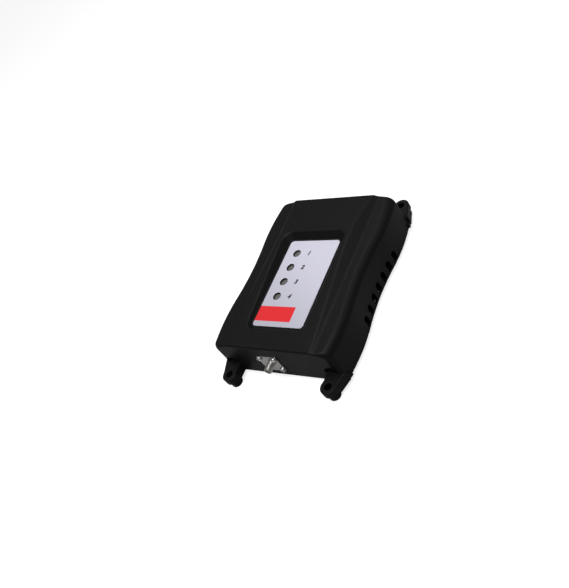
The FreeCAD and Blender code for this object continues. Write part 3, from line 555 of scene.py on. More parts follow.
def skin_of(form, low, high, cell):
    """Corners and four-sided faces of a form's surface, one corner in each grid cell that it crosses."""
    low = np.array(low, float)
    counts = np.ceil((np.array(high, float) - low) / cell).astype(int) + 1
    lines = [low[axis] + cell * np.arange(counts[axis]) for axis in range(3)]
    x, y, z = lines[0][:, None, None], lines[1][None, :, None], lines[2][None, None, :]
    values = np.broadcast_to(form(x, y, z), counts)
    solid = values < 0
    last = counts - 1
    within = sum(solid[i:last[0] + i, j:last[1] + j, k:last[2] + k].astype(np.int8) for i, j, k in CORNERS)
    cells = np.argwhere((within > 0) & (within < 8))
    number = np.full(last, -1)
    number[tuple(cells.T)] = np.arange(len(cells))
    at = [values[tuple((cells + corner).T)] for corner in CORNERS]
    total = np.zeros((len(cells), 3))
    crossings = np.zeros(len(cells))
    for a, b in CELL_EDGES:
        crossed = (at[a] < 0) != (at[b] < 0)
        share = np.where(crossed, at[a] / np.where(crossed, at[a] - at[b], 1.0), 0.0)
        place = np.array(CORNERS[a]) + share[:, None] * (np.array(CORNERS[b]) - np.array(CORNERS[a]))
        total += place * crossed[:, None]
        crossings += crossed
    points = low + cell * (cells + total / crossings[:, None])
    faces = []
    for axis in range(3):
        one, two = (axis + 1) % 3, (axis + 2) % 3
        here = [slice(None)] * 3
        there = [slice(None)] * 3
        here[axis], there[axis] = slice(0, -1), slice(1, None)
        crossed = solid[tuple(here)] != solid[tuple(there)]
        spots = np.argwhere(crossed)
        spots = spots[(spots[:, one] > 0) & (spots[:, two] > 0)
                      & (spots[:, one] < last[one]) & (spots[:, two] < last[two])]
        outward = solid[tuple(spots.T)]
        ring = []
        for back_one, back_two in ((1, 1), (0, 1), (0, 0), (1, 0)):
            cell_at = spots.copy()
            cell_at[:, one] -= back_one
            cell_at[:, two] -= back_two
            ring.append(number[tuple(cell_at.T)])
        ring = np.stack(ring, axis=1)
        faces.append(np.where(outward[:, None], ring, ring[:, ::-1]))
    return points, np.concatenate(faces)


def mesh_from(name, points, faces):
    """Mesh with the given corners and faces, which all have as many sides."""
    mesh = bpy.data.meshes.new(name)
    mesh.vertices.add(len(points))
    mesh.vertices.foreach_set("co", np.asarray(points, np.float32).ravel())
    mesh.loops.add(faces.size)
    mesh.loops.foreach_set("vertex_index", faces.ravel().astype(np.int32))
    mesh.polygons.add(len(faces))
    mesh.polygons.foreach_set("loop_start", np.arange(0, faces.size, faces.shape[1], dtype=np.int32))
    mesh.update(calc_edges=True)
    mesh.validate()
    return mesh


def put(name, data):
    """New object in the scene."""
    made = bpy.data.objects.new(name, data)
    bpy.context.scene.collection.objects.link(made)
    return made


def place_piece(name, mesh, replaces=(), body_name="root"):
    """Puts a mesh in the scene as a piece of the object."""
    piece = put(name, mesh)
    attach(piece, body_name)
    if replaces:
        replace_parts(piece, *replaces)
    return piece


def corners_of(mesh):
    """Places of a mesh's corners, one in each row."""
    points = np.empty(len(mesh.vertices) * 3)
    mesh.vertices.foreach_get("co", points)
    return points.reshape(-1, 3)


def normals_of(form, points):
    """Directions straight out of a form's surface."""
    normal = slope_of(form, points)[1]
    return normal / np.linalg.norm(normal, axis=1)[:, None]


def thinned(piece, form, share):
    """Fewer faces where the surface bends little; the rest keep their size."""
    mesh = piece.data
    points = corners_of(mesh)
    normal = normals_of(form, points)
    edges = np.empty(len(mesh.edges) * 2, int)
    mesh.edges.foreach_get("vertices", edges)
    edges = edges.reshape(-1, 2)
    bend = np.linalg.norm(normal[edges[:, 0]] - normal[edges[:, 1]], axis=1)
    sharp = np.zeros(len(points), bool)
    for _ in range(2):
        marked = (bend > SHARP_BEND) | sharp[edges].any(1)
        sharp[edges[marked].ravel()] = True
    group = piece.vertex_groups.new(name="gentle")
    group.add(np.flatnonzero(~sharp).tolist(), 1.0, "REPLACE")
    thin = piece.modifiers.new("thin", "DECIMATE")
    thin.ratio = share
    thin.vertex_group = group.name
    thin.vertex_group_factor = GENTLE_WEIGHT
    evaluated = piece.evaluated_get(bpy.context.evaluated_depsgraph_get())
    slim = bpy.data.meshes.new_from_object(evaluated)
    piece.modifiers.clear()
    piece.vertex_groups.clear()
    piece.data = slim
    bpy.data.meshes.remove(mesh)


def smooth_by(piece, form):
    """Sets a piece on its form's surface and shades it by the form's own slope."""
    mesh = piece.data
    points = pull_on(form, corners_of(mesh), 1)
    mesh.vertices.foreach_set("co", points.ravel())
    normal = normals_of(form, points)
    mesh.polygons.foreach_set("use_smooth", np.ones(len(mesh.polygons), bool))
    mesh.update()
    mesh.normals_split_custom_set_from_vertices(normal.tolist())


def formed(name, form, low, high, cell, share, slot, material, replaces=(), place=None):
    """Piece meshed from its form, given a finish and put in its place."""
    margin = CELLS_AROUND * cell
    points, faces = skin_of(form, [v - margin for v in low], [v + margin for v in high], cell)
    piece = place_piece(name, mesh_from(name, pull_on(form, points, 2), faces), replaces)
    thinned(piece, form, share)
    smooth_by(piece, form)
    piece.data.materials.append(material)
    if place:
        piece.data.transform(place)
    return piece


def turned(name, profile, material, replaces=(), place=None, steps=64):
    """Round piece about Z from (radius, height) points."""
    shape = bmesh.new()
    line = [shape.verts.new((radius, 0.0, height)) for radius, height in profile]
    edges = [shape.edges.new(pair) for pair in zip(line, line[1:])]
    bmesh.ops.spin(shape, geom=line + edges, cent=(0, 0, 0), axis=(0, 0, 1), angle=2.0 * math.pi, steps=steps)
    bmesh.ops.remove_doubles(shape, verts=shape.verts, dist=SAME_CORNER)
    bmesh.ops.recalc_face_normals(shape, faces=shape.faces)
    mesh = bpy.data.meshes.new(name)
    shape.to_mesh(mesh)
    shape.free()
    mesh.shade_smooth()
    mesh.set_sharp_from_angle(angle=SHARP_ANGLE)
    mesh.materials.append(material)
    if place:
        mesh.transform(place)
    return place_piece(name, mesh, replaces)


def joined(name, pieces):
    """Several pieces made one; the first keeps its body and slot."""
    shape = bmesh.new()
    for piece in pieces:
        shape.from_mesh(piece.data)
    shape.to_mesh(pieces[0].data)
    shape.free()
    pieces[0].name = name
    for piece in pieces[1:]:
        bpy.data.objects.remove(piece)
    return pieces[0]


def rounded_rim(radius, top, rounding, steps=4):
    """Profile points of an outside edge, from its side to its face."""
    angles = [math.pi / 2.0 * i / steps for i in range(steps + 1)]
    return [(radius - rounding + rounding * math.cos(angle), top - rounding + rounding * math.sin(angle))
            for angle in angles]


def middles_at(node, height, apart=5.0 * MM):
    """Middles of the like pieces of a node, from its corners at one height."""
    groups = []
    for corner in nodes[node].data.vertices:
        if abs(corner.co.z - height) < 0.01 * MM:
            near = [group for group in groups if (group[0] - corner.co).length < apart]
            if near:
                near[0].append(corner.co.copy())
            else:
                groups.append([corner.co.copy()])
    middles = []
    for group in groups:
        ranges = [[corner[axis] for corner in group] for axis in range(3)]
        middles.append(Vector([(min(values) + max(values)) / 2.0 for values in ranges]))
    return middles


# ------------------------------------------------------------------ finishes

class Value:
    """A number that varies over a surface; arithmetic on it adds Math nodes."""

    def __init__(self, owner, socket):
        self.owner = owner
        self.socket = socket

    def maths(self, operation, *others):
        return self.owner.node("ShaderNodeMath", {"operation": operation}, dict(enumerate(others)))

    def __add__(self, other):
        return self.maths("ADD", self, other)

    __radd__ = __add__

    def __sub__(self, other):
        return self.maths("SUBTRACT", self, other)

    def __rsub__(self, other):
        return self.maths("SUBTRACT", other, self)

    def __mul__(self, other):
        return self.maths("MULTIPLY", self, other)

    __rmul__ = __mul__

    def __gt__(self, other):
        return self.maths("GREATER_THAN", self, other)

    def __lt__(self, other):
        return self.maths("LESS_THAN", self, other)


class Nodes:
    """A node tree, emptied, with short ways of adding nodes to it."""

    def __init__(self, owner):
        owner.use_nodes = True
        self.tree = owner.node_tree
        self.tree.nodes.clear()

    def node(self, kind, settings=None, inputs=None, output=0):
        """Adds a node, sets it up, feeds its sockets, and gives one of its outputs."""
        made = self.tree.nodes.new(kind)
        for name, value in (settings or {}).items():
            setattr(made, name, value)
        for key, value in (inputs or {}).items():
            self.feed(made.inputs[key], value)
        return Value(self, made.outputs[output])

    def feed(self, socket, value):
        """Links a varying value to a socket, or sets a plain one."""
        if isinstance(value, Value):
            self.tree.links.new(value.socket, socket)
        elif socket.type == "RGBA":
            socket.default_value = (*value, 1.0)
        else:
            socket.default_value = value

    def place(self):
        """Where a surface point is, in the row's frame."""
        return self.node("ShaderNodeTexCoord", output="Object")

    def coordinates(self):
        """The three parts of a surface point's place."""
        split = self.node("ShaderNodeSeparateXYZ", inputs={0: self.place()})
        return [Value(self, split.socket.node.outputs[axis]) for axis in range(3)]

    def stretched(self, scale):
        """Place of a surface point, scaled along each axis."""
        return self.node("ShaderNodeVectorMath", {"operation": "MULTIPLY"}, {0: self.place(), 1: scale})

    def noise(self, scale, detail=2.0, along=(1.0, 1.0, 1.0)):
        """Cloudy noise; less than 1 along an axis draws it out that way."""
        inputs = {"Vector": self.stretched(along), "Scale": scale, "Detail": detail, "Roughness": 0.5}
        return self.node("ShaderNodeTexNoise", {}, inputs)

    def mix(self, factor, first, second):
        """Blend of two colours."""
        return self.node("ShaderNodeMix", {"data_type": "RGBA"}, {0: factor, 6: first, 7: second}, output=2)

    def bump(self, height, distance):
        """Normal of a surface raised by a height."""
        return self.node("ShaderNodeBump", {}, {"Height": height, "Distance": distance, "Strength": 1.0})

    def step(self, value, low, high):
        """0 below low, 1 above high, smooth between."""
        settings = {"interpolation_type": "SMOOTHSTEP"}
        return self.node("ShaderNodeMapRange", settings, {0: value, 1: low, 2: high, 3: 0.0, 4: 1.0})


class Finish(Nodes):
    """One procedural material round a Principled shader."""

    def __init__(self, name):
        self.material = bpy.data.materials.new(name)
        super().__init__(self.material)
        output = self.tree.nodes.new("ShaderNodeOutputMaterial")
        self.shader = self.tree.nodes.new("ShaderNodeBsdfPrincipled")
        self.tree.links.new(self.shader.outputs[0], output.inputs["Surface"])

    def set(self, **values):
        """Feeds the shader's sockets, named with underscores for spaces."""
        for name, value in values.items():
            self.feed(self.shader.inputs[name.replace("_", " ")], value)
        return self


def scaled(colour, share):
    """A colour made darker or lighter."""
    return [part * share for part in colour]


def moulded_plastic(name, colour, roughness, specular, grain):
    """Moulded plastic, or another plain matt material, with a fine even grain."""
    finish = Finish(name)
    coarse = finish.noise(90.0, 2.0)
    fine = finish.noise(3600.0, 2.0)
    shade = finish.mix(coarse, colour, scaled(colour, 1.25))
    return finish.set(Base_Color=shade, Roughness=roughness - 0.03 + 0.06 * coarse,
                      Specular_IOR_Level=specular, Normal=finish.bump(fine, grain)).material


def brushed_metal(name, colour, roughness, along=(1.0, 1.0, 1.0), scratch=0.000004):
    """Plain metal with fine lines along one direction."""
    finish = Finish(name)
    lines = finish.noise(900.0, 3.0, along)
    cloud = finish.noise(60.0, 2.0)
    shade = finish.mix(cloud, scaled(colour, 0.93), colour)
    return finish.set(Base_Color=shade, Metallic=1.0, Roughness=roughness + 0.10 * lines - 0.04 * cloud,
                      Normal=finish.bump(lines, scratch)).material


def paint_nodes(material, *names):
    """Gives nodes that keep their own solids a finish."""
    for name in names:
        for slot in nodes[name].material_slots:
            slot.material = material


# ------------------------------------------------------------------ settings

class BoosterCaseSettings(bpy.types.PropertyGroup):
    """Mesh, roundings and plastic of the case"""
    cell: FloatProperty(name="Mesh cell", description="Size of the grid that the case is meshed on",
                        default=0.6 * MM, min=0.3 * MM, max=3.0 * MM, unit="LENGTH")
    crease: FloatProperty(name="Crease radius",
                          description="Rounding between the panel's back and its flanks",
                          default=0.7 * MM, min=0.1 * MM, max=3.0 * MM, unit="LENGTH")
    rim: FloatProperty(name="Recess rim", description="Rounding where the recess walls meet the panel",
                       default=0.9 * MM, min=0.1 * MM, max=3.0 * MM, unit="LENGTH")
    colour: FloatVectorProperty(name="Plastic colour", description="Colour of the moulded case",
                                default=(0.0045, 0.0045, 0.0047), min=0.0, max=1.0, subtype="COLOR")
    roughness: FloatProperty(name="Plastic roughness", description="How matt the moulded case is",
                             default=0.42, min=0.0, max=1.0, subtype="FACTOR")
    gloss: FloatProperty(name="Plastic gloss", description="How strongly the moulded case reflects",
                         default=0.09, min=0.0, max=1.0, subtype="FACTOR")


class BoosterLabelSettings(bpy.types.PropertyGroup):
    """Colours and numbers of the label plate"""
    colour: FloatVectorProperty(name="Label colour", description="Colour of the label plate",
                                default=(0.56, 0.55, 0.64), min=0.0, max=1.0, subtype="COLOR")
    band: FloatVectorProperty(name="Band colour", description="Colour of the bare band printed on the label",
                              default=(0.70, 0.022, 0.028), min=0.0, max=1.0, subtype="COLOR")
    ink: FloatVectorProperty(name="Ink colour", description="Colour of the printed numbers",
                             default=(0.010, 0.010, 0.012), min=0.0, max=1.0, subtype="COLOR")
    numeral: FloatProperty(name="Number size", description="Size of the printed numbers",
                           default=5.2 * MM, min=1.0 * MM, max=8.0 * MM, unit="LENGTH")


class BoosterStageSettings(bpy.types.PropertyGroup):
    """Floor and lights"""
    floor: FloatVectorProperty(name="Floor colour", description="Colour of the floor",
                               default=(0.45, 0.45, 0.455), min=0.0, max=1.0, subtype="COLOR")
    floor_glow: FloatProperty(name="Floor glow",
                              description="Light that the floor adds where the camera sees it",
                              default=0.80, min=0.0, max=2.0)
    ambient: FloatProperty(name="Ambient", description="Brightness of the surroundings as a light",
                           default=0.20, min=0.0, max=2.0)
    key_power: FloatProperty(name="Key light", description="Power of the large soft light overhead",
                             default=9.0, min=0.0, max=200.0, unit="POWER")
    side_power: FloatProperty(name="Side light", description="Power of the soft light beside the case",
                              default=0.5, min=0.0, max=200.0, unit="POWER")
    strip_power: FloatProperty(name="Strip light",
                               description="Power of the narrow light that draws the creases",
                               default=1.2, min=0.0, max=200.0, unit="POWER")


# ------------------------------------------------------------------ operators

class BOOSTER_OT_case(bpy.types.Operator):
    """Builds the moulded case"""
    bl_idname = "booster.case"
    bl_label = "Moulded case"

    def execute(self, context):
        settings = context.scene.booster_case

        def form(x, y, z):
            return case_form(x, y, z, settings.crease, settings.rim)

        cell = settings.cell * 1.0
        finish = moulded_plastic("housing_plastic", settings.colour, settings.roughness, settings.gloss,
                                 0.00001)
        formed("moulded_case", form, *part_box("housing"), cell, 0.25, "housing_plastic", finish, ["housing"])
        return {"FINISHED"}


class BOOSTER_OT_label(bpy.types.Operator):
    """Builds the label plate with its bare printed band and a plain number beside each window"""
    bl_idname = "booster.label"
    bl_label = "Label plate"

    def execute(self, context):
        settings = context.scene.booster_label
        cell = 0.25 * MM
        formed("printed_plate", label_plate, PLATE_LOW, PLATE_HIGH, cell, 0.12, "label_metal",
               self.printed_metal(settings), ["label_plate"])
        self.add_numerals(settings)
        return {"FINISHED"}

    def printed_metal(self, settings):
        """Metallic print with a painted sheen along the plate, a band, and painted shade on the window walls
        in a column behind the windows.
        """
        finish = Finish("label_metal")
        x, y, z = finish.coordinates()
        start = PLATE_LOW.y + BAND_START
        end = start + BAND_LENGTH
        right = PLATE_LOW.x + BAND_WIDTH
        band = (finish.step(y, start - PRINT_EDGE, start + PRINT_EDGE)
                * (1.0 - finish.step(y, end - PRINT_EDGE, end + PRINT_EDGE))
                * (1.0 - finish.step(x, right - PRINT_EDGE, right + PRINT_EDGE)))
        grain = finish.noise(2200.0, 2.0)
        # Painted sheen: the print is darkened towards the near left and lightened towards the far right
        along = finish.step(0.6 * x + y, PLATE_LOW.y - PAINTED_SHEEN_START, PLATE_HIGH.y + PAINTED_SHEEN_END)
        shade = finish.mix(0.85 * along + 0.15 * grain, scaled(settings.colour, 0.72),
                           scaled(settings.colour, 1.13))
        shade = finish.mix(band, shade, settings.band)
        # Painted shade: inside a column round the windows, the walls of the window holes are made near-black
        from_column = finish.node("ShaderNodeMath", {"operation": "ABSOLUTE"}, {0: x - WINDOWS[0].x})
        painted_shade_column = ((from_column < COLUMN_HALF_WIDTH) * (y < WINDOWS[0].y + COLUMN_BEYOND)
                     * (y > WINDOWS[-1].y - COLUMN_BEYOND))
        shade = finish.mix(painted_shade_column * (z < PLATE_HIGH.z - PRINT_EDGE), shade, (0.004, 0.004, 0.004))
        return finish.set(Base_Color=shade, Roughness=0.36 + 0.06 * grain, Specular_IOR_Level=0.25,
                          Normal=finish.bump(grain, 0.000002)).material

    def add_numerals(self, settings):
        """Prints the window's number beside each window."""
        ink = Finish("label_ink")
        speck = ink.noise(4000.0)
        ink.set(Base_Color=ink.mix(speck, settings.ink, scaled(settings.ink, 1.3)), Roughness=0.45)
        pieces = []
        for number, window in enumerate(WINDOWS, 1):
            text = bpy.data.curves.new("numeral", "FONT")
            text.body = str(number)
            text.size = settings.numeral
            text.shear = 0.2
            text.offset = 0.065 * settings.numeral
            text.align_y = "CENTER"
            text.extrude = 0.01 * MM
            holder = put("numeral", text)
            evaluated = holder.evaluated_get(bpy.context.evaluated_depsgraph_get())
            mesh = bpy.data.meshes.new_from_object(evaluated)
            bpy.data.objects.remove(holder)
            spot = (window.x + NUMERAL_OFFSET, window.y, PLATE_HIGH.z + 0.005 * MM)
            mesh.transform(Matrix.Translation(spot))
            mesh.materials.clear()
            mesh.materials.append(ink.material)
            pieces.append(place_piece("numeral_%d" % number, mesh))
        joined("window_numerals", pieces)


class BOOSTER_OT_windows(bpy.types.Operator):
    """Builds the four light pipes"""
    bl_idname = "booster.windows"
    bl_label = "Light pipes"

    def execute(self, context):
        finish = Finish("light_pipe")
        cloud = finish.noise(700.0, 3.0)
        finish.set(Base_Color=finish.mix(cloud, (0.100, 0.098, 0.094), (0.145, 0.142, 0.137)),
                   Roughness=0.32 + 0.1 * cloud, Specular_IOR_Level=0.35, Normal=finish.bump(cloud, 0.00001))
        ceiling = RECESS_FLOOR + FEET - WALL
        collar = ceiling - COLLAR_HEIGHT
        for number in (1, 2, 3, 4):
            low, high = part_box("light_pipe_%d" % number)
            middle = (low + high) / 2.0
            top = high.z - HEAD_SINK
            profile = ([(0.0, low.z), (SHAFT_RADIUS, low.z), (SHAFT_RADIUS, collar), (COLLAR_RADIUS, collar),
                        (COLLAR_RADIUS, ceiling), (HEAD_RADIUS, ceiling)]
                       + rounded_rim(HEAD_RADIUS, top, HEAD_EDGE) + [(0.0, top)])
            turned("window_light_%d" % number, profile, finish.material,
                   ["light_pipe_%d" % number], Matrix.Translation((middle.x, middle.y, 0.0)))
        return {"FINISHED"}


class BOOSTER_OT_jacks(bpy.types.Operator):
    """Builds the two antenna jacks with their screws, insulators and contacts"""
    bl_idname = "booster.jacks"
    bl_label = "Antenna jacks"

    def execute(self, context):
        nickel = brushed_metal("nickel", (0.50, 0.49, 0.47), 0.26)
        steel = brushed_metal("steel", (0.55, 0.55, 0.56), 0.24)
        gold = brushed_metal("gold", (0.83, 0.62, 0.26), 0.2)
        white = moulded_plastic("insulator", (0.72, 0.71, 0.67), 0.4, 0.4, 0.000002)
        cell = 0.14 * MM
        half = JACK_FLANGE / 2.0
        socket = JACK_REACH - MOUTH_DEPTH
        for side, turn in (("inside", 0.0), ("outside", math.pi)):
            place = Matrix.Rotation(turn, 4, "Z") @ JACK_PLACE
            formed("%s_jack" % side, antenna_jack, (-half, -half, 0.0), (half, half, JACK_REACH), cell, 0.3,
                   "nickel", nickel, ["%s_jack_body" % side], place)
            screws = []
            for sx, sy in ((-1, -1), (1, -1), (1, 1), (-1, 1)):
                spot = Matrix.Translation((sx * JACK_SCREW, sy * JACK_SCREW, FLANGE_THICK))
                spin = Matrix.Rotation(0.7 * sx + 0.4 * sy, 4, "Z")
                screws.append(formed("screw", pan_head_screw, (-PAN_RADIUS, -PAN_RADIUS, -PAN_LENGTH),
                                     (PAN_RADIUS, PAN_RADIUS, PAN_HEIGHT), SCREW_CELL, 0.4, "steel", steel,
                                     (), place @ spot @ spin))
            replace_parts(joined("%s_jack_fixings" % side, screws), "%s_jack_screws" % side)
            sleeve = [(CONTACT_RADIUS, -INSULATOR_TAIL), (BORE_RADIUS, -INSULATOR_TAIL)]
            sleeve += rounded_rim(BORE_RADIUS, socket, INSULATOR_EDGE)
            sleeve += [(CONTACT_RADIUS, socket), (CONTACT_RADIUS, -INSULATOR_TAIL)]
            turned("%s_jack_sleeve" % side, sleeve, white, ["%s_jack_insulator" % side], place)
            low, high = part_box("%s_jack_contact" % side)
            tail = socket - (high.y - low.y)
            pin = [(0.0, tail), (CONTACT_RADIUS, tail)] + rounded_rim(CONTACT_RADIUS, socket, CONTACT_EDGE)
            pin += [(SOCKET_RADIUS, socket), (SOCKET_RADIUS, socket - SOCKET_DEPTH),
                    (0.0, socket - SOCKET_DEPTH)]
            turned("%s_jack_pin" % side, pin, gold, ["%s_jack_contact" % side], place, 32)
        return {"FINISHED"}


class BOOSTER_OT_power_jack(bpy.types.Operator):
    """Builds the power jack with its pin and spring"""
    bl_idname = "booster.power_jack"
    bl_label = "Power jack"

    def execute(self, context):
        plastic = moulded_plastic("socket_plastic", (0.012, 0.012, 0.0125), 0.45, 0.3, 0.000008)
        formed("power_socket", power_jack, POWER_LOW, POWER_HIGH, 0.25 * MM, 0.3, "socket_plastic", plastic,
               ["power_jack_body"])
        low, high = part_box("power_jack_pin")
        radius = (high.x - low.x) / 2.0
        place = Matrix.Translation((POWER_X, low.y, POWER_Z)) @ Matrix.Rotation(-math.pi / 2.0, 4, "X")
        length = high.y - low.y
        profile = [(0.0, 0.0), (radius, 0.0)] + rounded_rim(radius, length, SOFT_EDGE) + [(0.0, length)]
        turned("power_pin", profile, bpy.data.materials["nickel"], ["power_jack_pin"], place, 32)
        paint_nodes(bpy.data.materials["steel"], "power_jack_spring")
        return {"FINISHED"}


class BOOSTER_OT_base(bpy.types.Operator):
    """Finishes the base plate and builds its screws"""
    bl_idname = "booster.base"
    bl_label = "Base plate"

    def execute(self, context):
        plate = Finish("base_aluminium")
        lines = plate.noise(500.0, 3.0, (1.0, 0.03, 1.0))
        cloud = plate.noise(25.0, 2.0)
        plate.set(Base_Color=plate.mix(cloud, (0.030, 0.030, 0.032), (0.042, 0.042, 0.045)), Metallic=0.85,
                  Roughness=0.42 + 0.12 * lines, Normal=plate.bump(lines, 0.000006))
        paint_nodes(plate.material, "base_plate")
        dark = brushed_metal("dark_screw", (0.05, 0.05, 0.055), 0.3)
        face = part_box("base_screws")[0].z
        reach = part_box("base_screws")[1].z - face
        screws = []
        for spot in middles_at("base_screws", face):
            place = Matrix.Translation(spot) @ Matrix.Rotation(60.0 * spot.y, 4, "Z")
            screws.append(formed("screw", countersunk_screw, (-COUNTERSUNK_RADIUS, -COUNTERSUNK_RADIUS, 0.0),
                                 (COUNTERSUNK_RADIUS, COUNTERSUNK_RADIUS, reach), SCREW_CELL, 0.4,
                                 "dark_screw", dark, (), place))
        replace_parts(joined("base_fixings", screws), "base_screws")
        return {"FINISHED"}


class BOOSTER_OT_board(bpy.types.Operator):
    """Finishes the board and everything on it"""
    bl_idname = "booster.board"
    bl_label = "Board and cooling"

    def execute(self, context):
        paint_nodes(self.solder_mask(), "main_board")
        paint_nodes(bpy.data.materials["steel"], "board_screws", "board_standoffs")
        for make, looks, names in (
                (brushed_metal, ("shield", (0.72, 0.71, 0.68), 0.32),
                 ("uplink_shield_frame", "uplink_shield_lid", "downlink_shield_frame",
                  "downlink_shield_lid")),
                (brushed_metal, ("spreader", (0.80, 0.80, 0.81), 0.36, (1.0, 0.05, 1.0)), ("heat_spreader",)),
                (moulded_plastic, ("thermal_pad", (0.30, 0.36, 0.42), 0.8, 0.2, 0.00004), ("thermal_pads",)),
                (moulded_plastic, ("chip", (0.014, 0.014, 0.015), 0.5, 0.4, 0.00001),
                 ("uplink_amplifier", "downlink_amplifier", "control_chip", "voltage_regulator")),
                (moulded_plastic, ("ceramic", (0.62, 0.60, 0.55), 0.5, 0.4, 0.00001), ("band_filters",)),
                (moulded_plastic, ("ferrite", (0.05, 0.05, 0.052), 0.7, 0.3, 0.00004), ("power_inductor",)),
                (brushed_metal, ("capacitor_can", (0.78, 0.78, 0.80), 0.3, (1.0, 1.0, 0.1)),
                 ("power_capacitors",)),
                (moulded_plastic, ("diode", (0.75, 0.76, 0.72), 0.3, 0.5, 0.000002), ("status_leds",))):
            paint_nodes(make(*looks), *names)
        return {"FINISHED"}

    def solder_mask(self):
        """Green lacquer over copper tracks."""
        finish = Finish("board")
        tracks = finish.node("ShaderNodeTexBrick", {"offset": 0.5}, {
            "Vector": finish.place(), "Scale": 240.0, "Mortar Size": 0.03, "Color1": (0, 0, 0),
            "Color2": (0, 0, 0), "Mortar": (1, 1, 1)})
        cloud = finish.noise(80.0)
        lacquer = finish.mix(cloud, (0.006, 0.055, 0.028), (0.010, 0.075, 0.036))
        return finish.set(Base_Color=finish.mix(tracks, lacquer, (0.02, 0.13, 0.06)),
                          Roughness=0.28 + 0.1 * cloud, Normal=finish.bump(tracks, 0.00003)).material


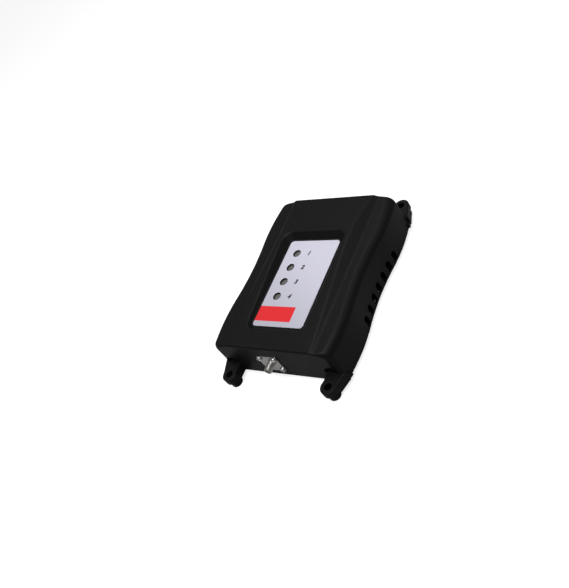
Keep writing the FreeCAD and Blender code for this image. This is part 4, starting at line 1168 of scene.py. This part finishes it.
class BOOSTER_OT_stage(bpy.types.Operator):
    """Sets up the floor, the lights and the camera"""
    bl_idname = "booster.stage"
    bl_label = "Stage"

    azimuth = math.radians(54.406)
    elevation = math.radians(40.135)
    roll = math.radians(40.286)
    distance = 563.58 * MM
    target = Vector((-17.37, -14.81, 25.03)) * MM
    focal_length = 43.64

    def execute(self, context):
        settings = context.scene.booster_stage
        self.add_floor(settings)
        self.add_world(context.scene, settings.ambient)
        self.add_light("overhead", (0.05, -0.15, 1.00), (0.80, 0.80), settings.key_power)
        self.add_light("side", (0.55, 0.65, 0.75), (0.30, 0.60), settings.side_power)
        self.add_light("strip", (-0.20, 0.45, 0.87), (0.12, 0.60), settings.strip_power)
        self.add_camera(context.scene)
        context.scene.view_settings.view_transform = "Standard"
        return {"FINISHED"}

    def add_floor(self, settings):
        """Wide matt floor that glows only for the camera."""
        half = 3.0
        corners = [(-half, -half, 0), (half, -half, 0), (half, half, 0), (-half, half, 0)]
        mesh = bpy.data.meshes.new("floor")
        mesh.from_pydata(corners, [], [(0, 1, 2, 3)])
        floor = put("floor", mesh)
        finish = Finish("floor")
        grain = finish.noise(30.0)
        finish.set(Base_Color=finish.mix(grain, scaled(settings.floor, 0.99), settings.floor),
                   Roughness=0.9, Specular_IOR_Level=0.0)
        seen = finish.node("ShaderNodeLightPath", output="Is Camera Ray")
        glow = finish.mix(seen, (0.0, 0.0, 0.0), [settings.floor_glow] * 3)
        finish.set(Emission_Color=glow, Emission_Strength=1.0)
        mesh.materials.append(finish.material)

    def add_world(self, scene, ambient):
        """White to the camera, an even light to matt surfaces, a sky that glossy ones mirror."""
        scene.world = bpy.data.worlds.new("studio")
        world = Nodes(scene.world)
        seen, mirrored, through = [world.node("ShaderNodeLightPath", output=name)
                                   for name in ("Is Camera Ray", "Is Glossy Ray", "Is Transmission Ray")]
        direction = world.node("ShaderNodeTexCoord", output="Generated")
        upward = world.node("ShaderNodeSeparateXYZ", inputs={0: direction}, output="Z")
        sky = world.mix(world.step(upward, 0.0, 0.95), [0.10] * 3, [0.62] * 3)
        colour = world.mix(seen + through, world.mix(mirrored, [ambient] * 3, sky), (1.0, 1.0, 1.0))
        background = world.node("ShaderNodeBackground", {}, {0: colour, 1: 1.0})
        output = world.tree.nodes.new("ShaderNodeOutputWorld")
        world.tree.links.new(background.socket, output.inputs["Surface"])

    def add_light(self, name, place, size, power):
        """Soft rectangular light that faces the case."""
        lamp = bpy.data.lights.new(name, "AREA")
        lamp.shape = "RECTANGLE"
        lamp.size, lamp.size_y = size
        lamp.energy = power
        light = put(name, lamp)
        light.location = place
        light.rotation_euler = (Vector(place) - Vector((0, 0, 0.02))).to_track_quat("Z", "Y").to_euler()

    def add_camera(self, scene):
        """Camera at its distance from the target, rolled about its own axis."""
        lens = bpy.data.cameras.new("camera")
        lens.lens = self.focal_length
        lens.sensor_width = 36.0
        lens.clip_start = 0.01
        camera = put("camera", lens)
        scene.camera = camera
        back = Vector((math.sin(self.azimuth) * math.cos(self.elevation),
                       -math.cos(self.azimuth) * math.cos(self.elevation), math.sin(self.elevation)))
        level = Vector((math.cos(self.azimuth), math.sin(self.azimuth), 0.0))
        upright = back.cross(level)
        up = upright * math.cos(self.roll) + level * math.sin(self.roll)
        right = up.cross(back)
        turn = Matrix((right, up, back)).transposed().to_4x4()
        camera.matrix_world = Matrix.Translation(self.target + back * self.distance) @ turn


class BOOSTER_PT_panel(bpy.types.Panel):
    """Sidebar panel with the settings and a button for each piece"""
    bl_idname = "BOOSTER_PT_panel"
    bl_label = "Signal booster"
    bl_space_type = "VIEW_3D"
    bl_region_type = "UI"
    bl_category = "Booster"

    def draw(self, context):
        for group in (context.scene.booster_case, context.scene.booster_label, context.scene.booster_stage):
            for name in group.__annotations__:
                self.layout.prop(group, name)
        for operator in OPERATORS:
            self.layout.operator(operator.bl_idname)


OPERATORS = (BOOSTER_OT_case, BOOSTER_OT_label, BOOSTER_OT_windows, BOOSTER_OT_jacks, BOOSTER_OT_power_jack,
             BOOSTER_OT_base, BOOSTER_OT_board, BOOSTER_OT_stage)
SETTINGS = {"booster_case": BoosterCaseSettings, "booster_label": BoosterLabelSettings,
            "booster_stage": BoosterStageSettings}


def register():
    """Adds the settings, operators and panel to Blender."""
    for name, group in SETTINGS.items():
        bpy.utils.register_class(group)
        setattr(bpy.types.Scene, name, PointerProperty(type=group))
    for operator in OPERATORS:
        bpy.utils.register_class(operator)
    bpy.utils.register_class(BOOSTER_PT_panel)


def unregister():
    """Takes them away again."""
    bpy.utils.unregister_class(BOOSTER_PT_panel)
    for operator in reversed(OPERATORS):
        bpy.utils.unregister_class(operator)
    for name, group in SETTINGS.items():
        delattr(bpy.types.Scene, name)
        bpy.utils.unregister_class(group)


def main():
    """Builds every piece and the stage."""
    register()
    for operator in OPERATORS:
        group, name = operator.bl_idname.split(".")
        getattr(getattr(bpy.ops, group), name)()


if __name__ == "__main__":
    main()
